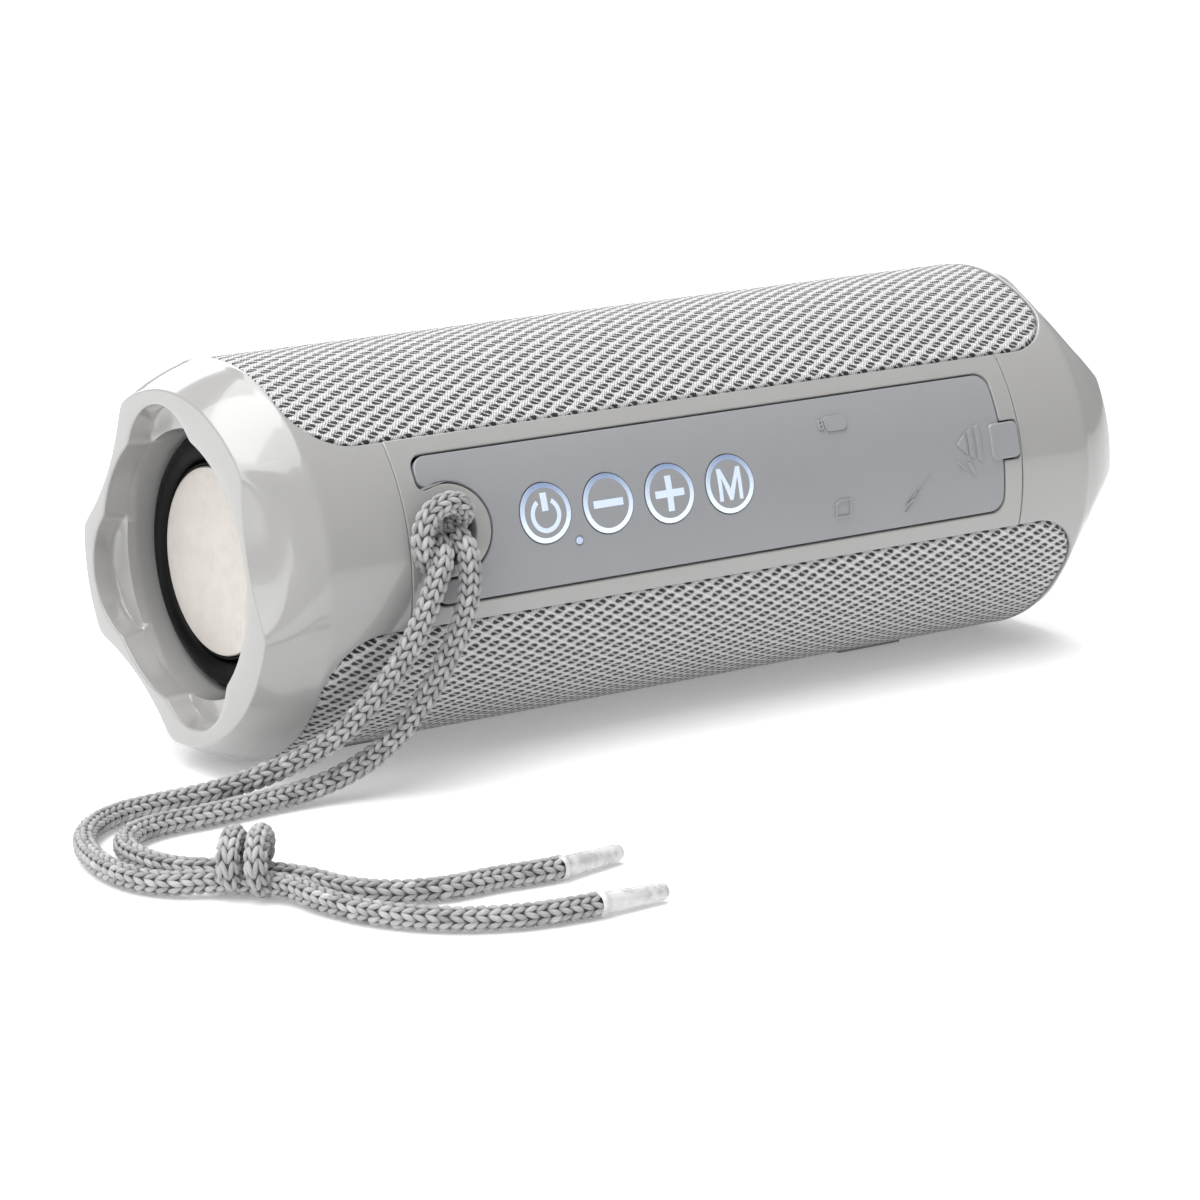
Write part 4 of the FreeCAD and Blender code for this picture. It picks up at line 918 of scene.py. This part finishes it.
def control_skin():
    """One silicone skin from the lug to the pull tab: keypad, living hinge and port cover."""
    holes = [circle(KEY_FIRST + i * KEY_PITCH, 0, KEY_RADIUS + KEY_GAP) for i in range(4)]
    holes.append(circle(PILOT_X, PILOT_ARC, 0.85, 24))
    across_hinge = [15.0 + 0.35 * i for i in range(15)]
    skin = plate("control_skin", [strip_outline(0.0)] + holes, -2.2, 0.0, 0.28, SILICONE,
                 body=None, cuts=across_hinge)
    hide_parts("control_panel", "port_cover")
    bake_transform(skin)
    tab = fillet([(PANEL_RIGHT - 3.0, TAB_HALF, 1.0), (PANEL_RIGHT - 3.0, -TAB_HALF, 1.0),
                  (TAB_END, -TAB_HALF, 1.2), (TAB_END, TAB_HALF, 1.2)])
    plate("pull_tab", [tab], -1.3, 0.5, 0.45, SILICONE, body="port_flap")


def relief():
    """Low signs on the port cover (drive stick, card, bolt, plug, arrow) and stoppers behind it."""
    stick = fillet([(24.9, 6.9, 0.9), (30.2, 6.9, 1.2), (30.2, 9.9, 1.2), (24.9, 9.9, 0.9)])
    shell = fillet([(23.3, 7.4, 0.2), (24.6, 7.4, 0.1), (24.6, 9.4, 0.1), (23.3, 9.4, 0.2)])
    dots = [fillet([(23.8, y, 0), (24.2, y, 0), (24.2, y + 0.4, 0), (23.8, y + 0.4, 0)])
            for y in (7.8, 8.6)]
    card = fillet([(24.6, -9.9, 0.3), (28.6, -9.9, 0.3), (28.6, -6.3, 0.3), (25.7, -6.3, 0.1),
                   (24.6, -7.2, 0.1)])
    card_inside = fillet([(25.05, -9.5, 0.1), (28.15, -9.5, 0.1), (28.15, -6.75, 0.1),
                          (25.9, -6.75, 0.1), (25.05, -7.4, 0.1)])
    bolt = [(42.1, -10.9), (43.9, -9.1), (43.3, -8.8), (45.4, -6.8), (43.5, -8.4), (44.1, -8.8)]
    plug = fillet([(55.6, -2.9, 0.2), (56.1, -2.6, 0.2), (57.6, -4.3, 0.1), (57.1, -4.7, 0.1)])
    grip = fillet([(58.0, -3.4, 0.3), (58.8, -3.1, 0.3), (60.2, -5.4, 0.4), (59.4, -5.9, 0.4)])
    arrow = [(55.9, 0.5), (58.3, -1.7), (58.3, 2.6)]
    bars = [fillet([(x, low, 0.15), (x + 1.1, low - 0.5, 0.15), (x + 1.1, high + 0.5, 0.15),
                    (x, high, 0.15)]) for x, low, high in ((58.9, -2.1, 2.9), (60.9, -2.9, 3.6))]
    plate("port_signs", [stick, shell] + dots + [card, card_inside, bolt, plug, grip, arrow] + bars,
          -0.3, 0.34, 0.14, SILICONE, body="port_flap", steps=2)
    stoppers = [box_outline(USB, 6.0, 2.4, 0.5), box_outline(CHARGE, 4.0, 1.2, 1.0),
                circle(*JACK, 1.5, 28)]
    plate("port_stoppers", stoppers, -4.25, -2.0, 0.3, SILICONE, body="port_flap",
          steps=2)


def bar(x0, y0, x1, y1, width):
    """A straight stroke as an outline."""
    run = Vector((x1 - x0, y1 - y0)).normalized() * width / 2
    side = Vector((-run.y, run.x))
    return [(x0 + side.x, y0 + side.y), (x0 - side.x, y0 - side.y),
            (x1 - side.x, y1 - side.y), (x1 + side.x, y1 + side.y)]


def legend_shapes():
    """Outlines of the four key signs round (0, 0): power, minus, plus and a mode letter."""
    thick = 1.4
    opening = math.radians(32)
    sweep = np.linspace(math.pi / 2 + opening, 2.5 * math.pi - opening, 44)
    power = [(3.35 * math.cos(a), -0.35 + 3.35 * math.sin(a)) for a in sweep]
    power += [(2.45 * math.cos(a), -0.35 + 2.45 * math.sin(a)) for a in sweep[::-1]]
    half, arm = thick / 2, 3.35
    plus = [(half, half), (arm, half), (arm, -half), (half, -half), (half, -arm), (-half, -arm),
            (-half, -half), (-arm, -half), (-arm, half), (-half, half), (-half, arm), (half, arm)]
    wide, high, stroke = 2.75, 3.1, 0.85
    letter = [(-wide, -high), (-wide, high), (-wide + stroke * 1.1, high), (0, -high * 0.30),
              (wide - stroke * 1.1, high), (wide, high), (wide, -high), (wide - stroke, -high),
              (wide - stroke, high * 0.42), (stroke * 0.42, -high), (-stroke * 0.42, -high),
              (-wide + stroke, high * 0.42), (-wide + stroke, -high)]
    return [[power, bar(0, 0.35, 0, 3.75, thick)], [bar(-3.35, 0, 3.35, 0, thick)], [plus], [letter]]


def keys():
    """Four round keys, each a silicone disc with a lit ring and a lit sign let into it."""
    for index, (word, signs) in enumerate(zip(("power", "minus", "plus", "mode"), legend_shapes())):
        x = KEY_FIRST + index * KEY_PITCH
        body = word + "_key"
        disc = plate(word + "_key_disc", [circle(x, 0, KEY_RADIUS)], -1.75, 0.02, 0.12, SILICONE,
                     body=body)
        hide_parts(word + "_button")
        ring = [circle(x, 0, KEY_RADIUS - 0.02, 72), circle(x, 0, KEY_RADIUS - 0.98, 72)]
        rim = plate(word + "_key_ring", ring, -0.3, 0.06, 0.06, LEGEND, body=body,
                    steps=1)
        sign = plate(word + "_key_sign", [[(x + px, py) for px, py in s] for s in signs],
                     -0.3, 0.06, 0.05, LEGEND, body=body, steps=1)
        # The ring and the sign are painted whiter towards the bottom and bluer and dimmer towards the top:
        # painted shade.
        for piece, low, high in ((rim, 0.0, 1.25), (sign, 0.62, 0.75)):
            heights = np.array([v.co.z for v in piece.data.vertices])
            drop = (round_tube(x, 0)[2] - heights) / (KEY_RADIUS * MM)
            set_tone(piece.data, np.clip(low + (high - low) * np.clip(drop * 0.5 + 0.5, 0, 1), 0, 1.2))
    lens = plate("pilot_light", [circle(PILOT_X, PILOT_ARC, 0.72, 24)], -0.8, 0.15, 0.15, LEGEND)
    set_tone(lens.data, np.full(len(lens.data.vertices), 0.45))
    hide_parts("status_lens")


strip_frame()
control_skin()
relief()
keys()


# ---- radiators ----

def lathe(name, profile, side, material, body, sharp=50):
    """A ring turned round the tube's axis from (x, radius) points."""
    steps = 180
    x = np.array([p[0] for p in profile])[:, None]
    radius = np.array([p[1] for p in profile])[:, None]
    arc = np.arange(steps)[None, :] * 2 * HALF_TURN / steps
    points = round_tube(side * x, np.broadcast_to(arc, (len(x), steps)), radius - TUBE_RADIUS)
    faces = grid_faces(len(x), steps, closed=True)
    if side > 0:
        faces = faces[:, ::-1]
    return add_mesh(name, points, faces, material, body=body, sharp=sharp)


def radiator(side):
    """A passive radiator: a rubber roll with a raised inner lip round a satin metal disc."""
    word = "left" if side < 0 else "right"
    roll = [(88.6, 24.5), (88.9, 24.0)]
    for step in range(19):
        angle = math.pi * step / 18
        roll.append((89.0 + 2.1 * math.sin(angle), 21.2 + 2.55 * math.cos(angle)))
    roll += [(89.3, 18.45), (90.1, 18.35), (90.45, 18.2), (90.5, 17.95), (90.3, 17.75), (89.6, 17.6)]
    skin = lathe(word + "_radiator_roll", roll, side, BLACK_RUBBER, None, 80)
    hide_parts(word + "_radiator_surround")
    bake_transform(skin)
    edge = [(89.2, 17.62), (90.6, 17.6)]
    for step in range(6):
        angle = math.pi / 2 * step / 5
        edge.append((90.6 + 0.35 * math.sin(angle), 17.25 + 0.35 * math.cos(angle)))
    edge += [(90.97, 16.6), (91.05, 12.0), (91.1, 6.0), (91.12, 0.02)]
    disc = lathe(word + "_radiator_plate", edge, side, DISC, word + "_radiator")
    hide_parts(word + "_radiator_disc")


radiator(-1)
radiator(1)


# ---- inner parts and feet ----

NODE_PAINT = {
    "black_plastic": BLACK_PLASTIC, "black_rubber": BLACK_RUBBER, "steel": STEEL, "board": BOARD,
    "components": CHIPS, "cell_wrap": CELL, "paper_cone": PAPER, "magnet": MAGNET, "wire": WIRE,
    "guide": GUIDE, "legend_light": GUIDE, "cap_gloss": CAP_GLOSS, "panel_silicone": SILICONE,
    "knit_fabric": KNIT, "cord_braid": YARN, "tip_plastic": TIP, "disc_satin": DISC}


def paint_nodes():
    """Every CAD piece that stays visible gets the finish of its material slot."""
    for row in frame["record"]["subparts"]:
        node = frame["nodes"][row["node"]]
        node.data.materials.clear()
        node.data.materials.append(NODE_PAINT[row["material_slot"]])


paint_nodes()


# ---- floor and light ----

def soft_box(name, place, aim, size, power):
    """A rectangular studio light turned to face a point."""
    data = bpy.data.lights.new(name, "AREA")
    data.shape = "RECTANGLE"
    data.size, data.size_y = size
    data.energy = power
    lamp = bpy.data.objects.new(name, data)
    lamp.location = place
    lamp.rotation_euler = (Vector(aim) - Vector(place)).to_track_quat("-Z", "Y").to_euler()
    bpy.context.scene.collection.objects.link(lamp)


def pale_floor():
    """A plain pale floor that glows faintly, which keeps the shadow on it pale."""
    paint = Paint("floor", Roughness=0.9, Emission_Color=(1.0, 1.0, 1.0, 1.0), Emission_Strength=0.24)
    paint.link("Base_Color", paint.mix(paint.noise(3.0), grey(0.80), grey(0.84)))
    half = 12.0
    floor = add_mesh("floor", [(-half, -half, 0), (half, -half, 0), (half, half, 0), (-half, half, 0)],
                     [[0, 1, 2, 3]], paint.material, body=None)


def studio():
    """Soft white light: the whole sky, a wide sun from above and three large boxes."""
    world = bpy.data.worlds.new("studio")
    world.use_nodes = True
    sky = world.node_tree.nodes["Background"]
    sky.inputs["Color"].default_value = (1.0, 1.0, 1.0, 1.0)
    sky.inputs["Strength"].default_value = 0.34
    bpy.context.scene.world = world
    data = bpy.data.lights.new("ceiling", "SUN")
    data.energy = 2.3
    data.angle = math.radians(60)
    ceiling = bpy.data.objects.new("ceiling", data)
    ceiling.rotation_euler = Vector((0.25, 0.05, -1.0)).to_track_quat("-Z", "Y").to_euler()
    bpy.context.scene.collection.objects.link(ceiling)
    soft_box("overhead", (-0.1, 0.15, 0.95), (0, 0, 0.04), (1.2, 0.5), 5.0)
    soft_box("left_key", (-0.95, -0.35, 0.55), (0, 0, 0.04), (0.6, 0.8), 4.0)
    soft_box("back_rim", (0.35, 1.0, 0.55), (0, 0, 0.05), (1.4, 0.7), 9.0)
    bpy.context.scene.view_settings.view_transform = "Standard"


pale_floor()
studio()
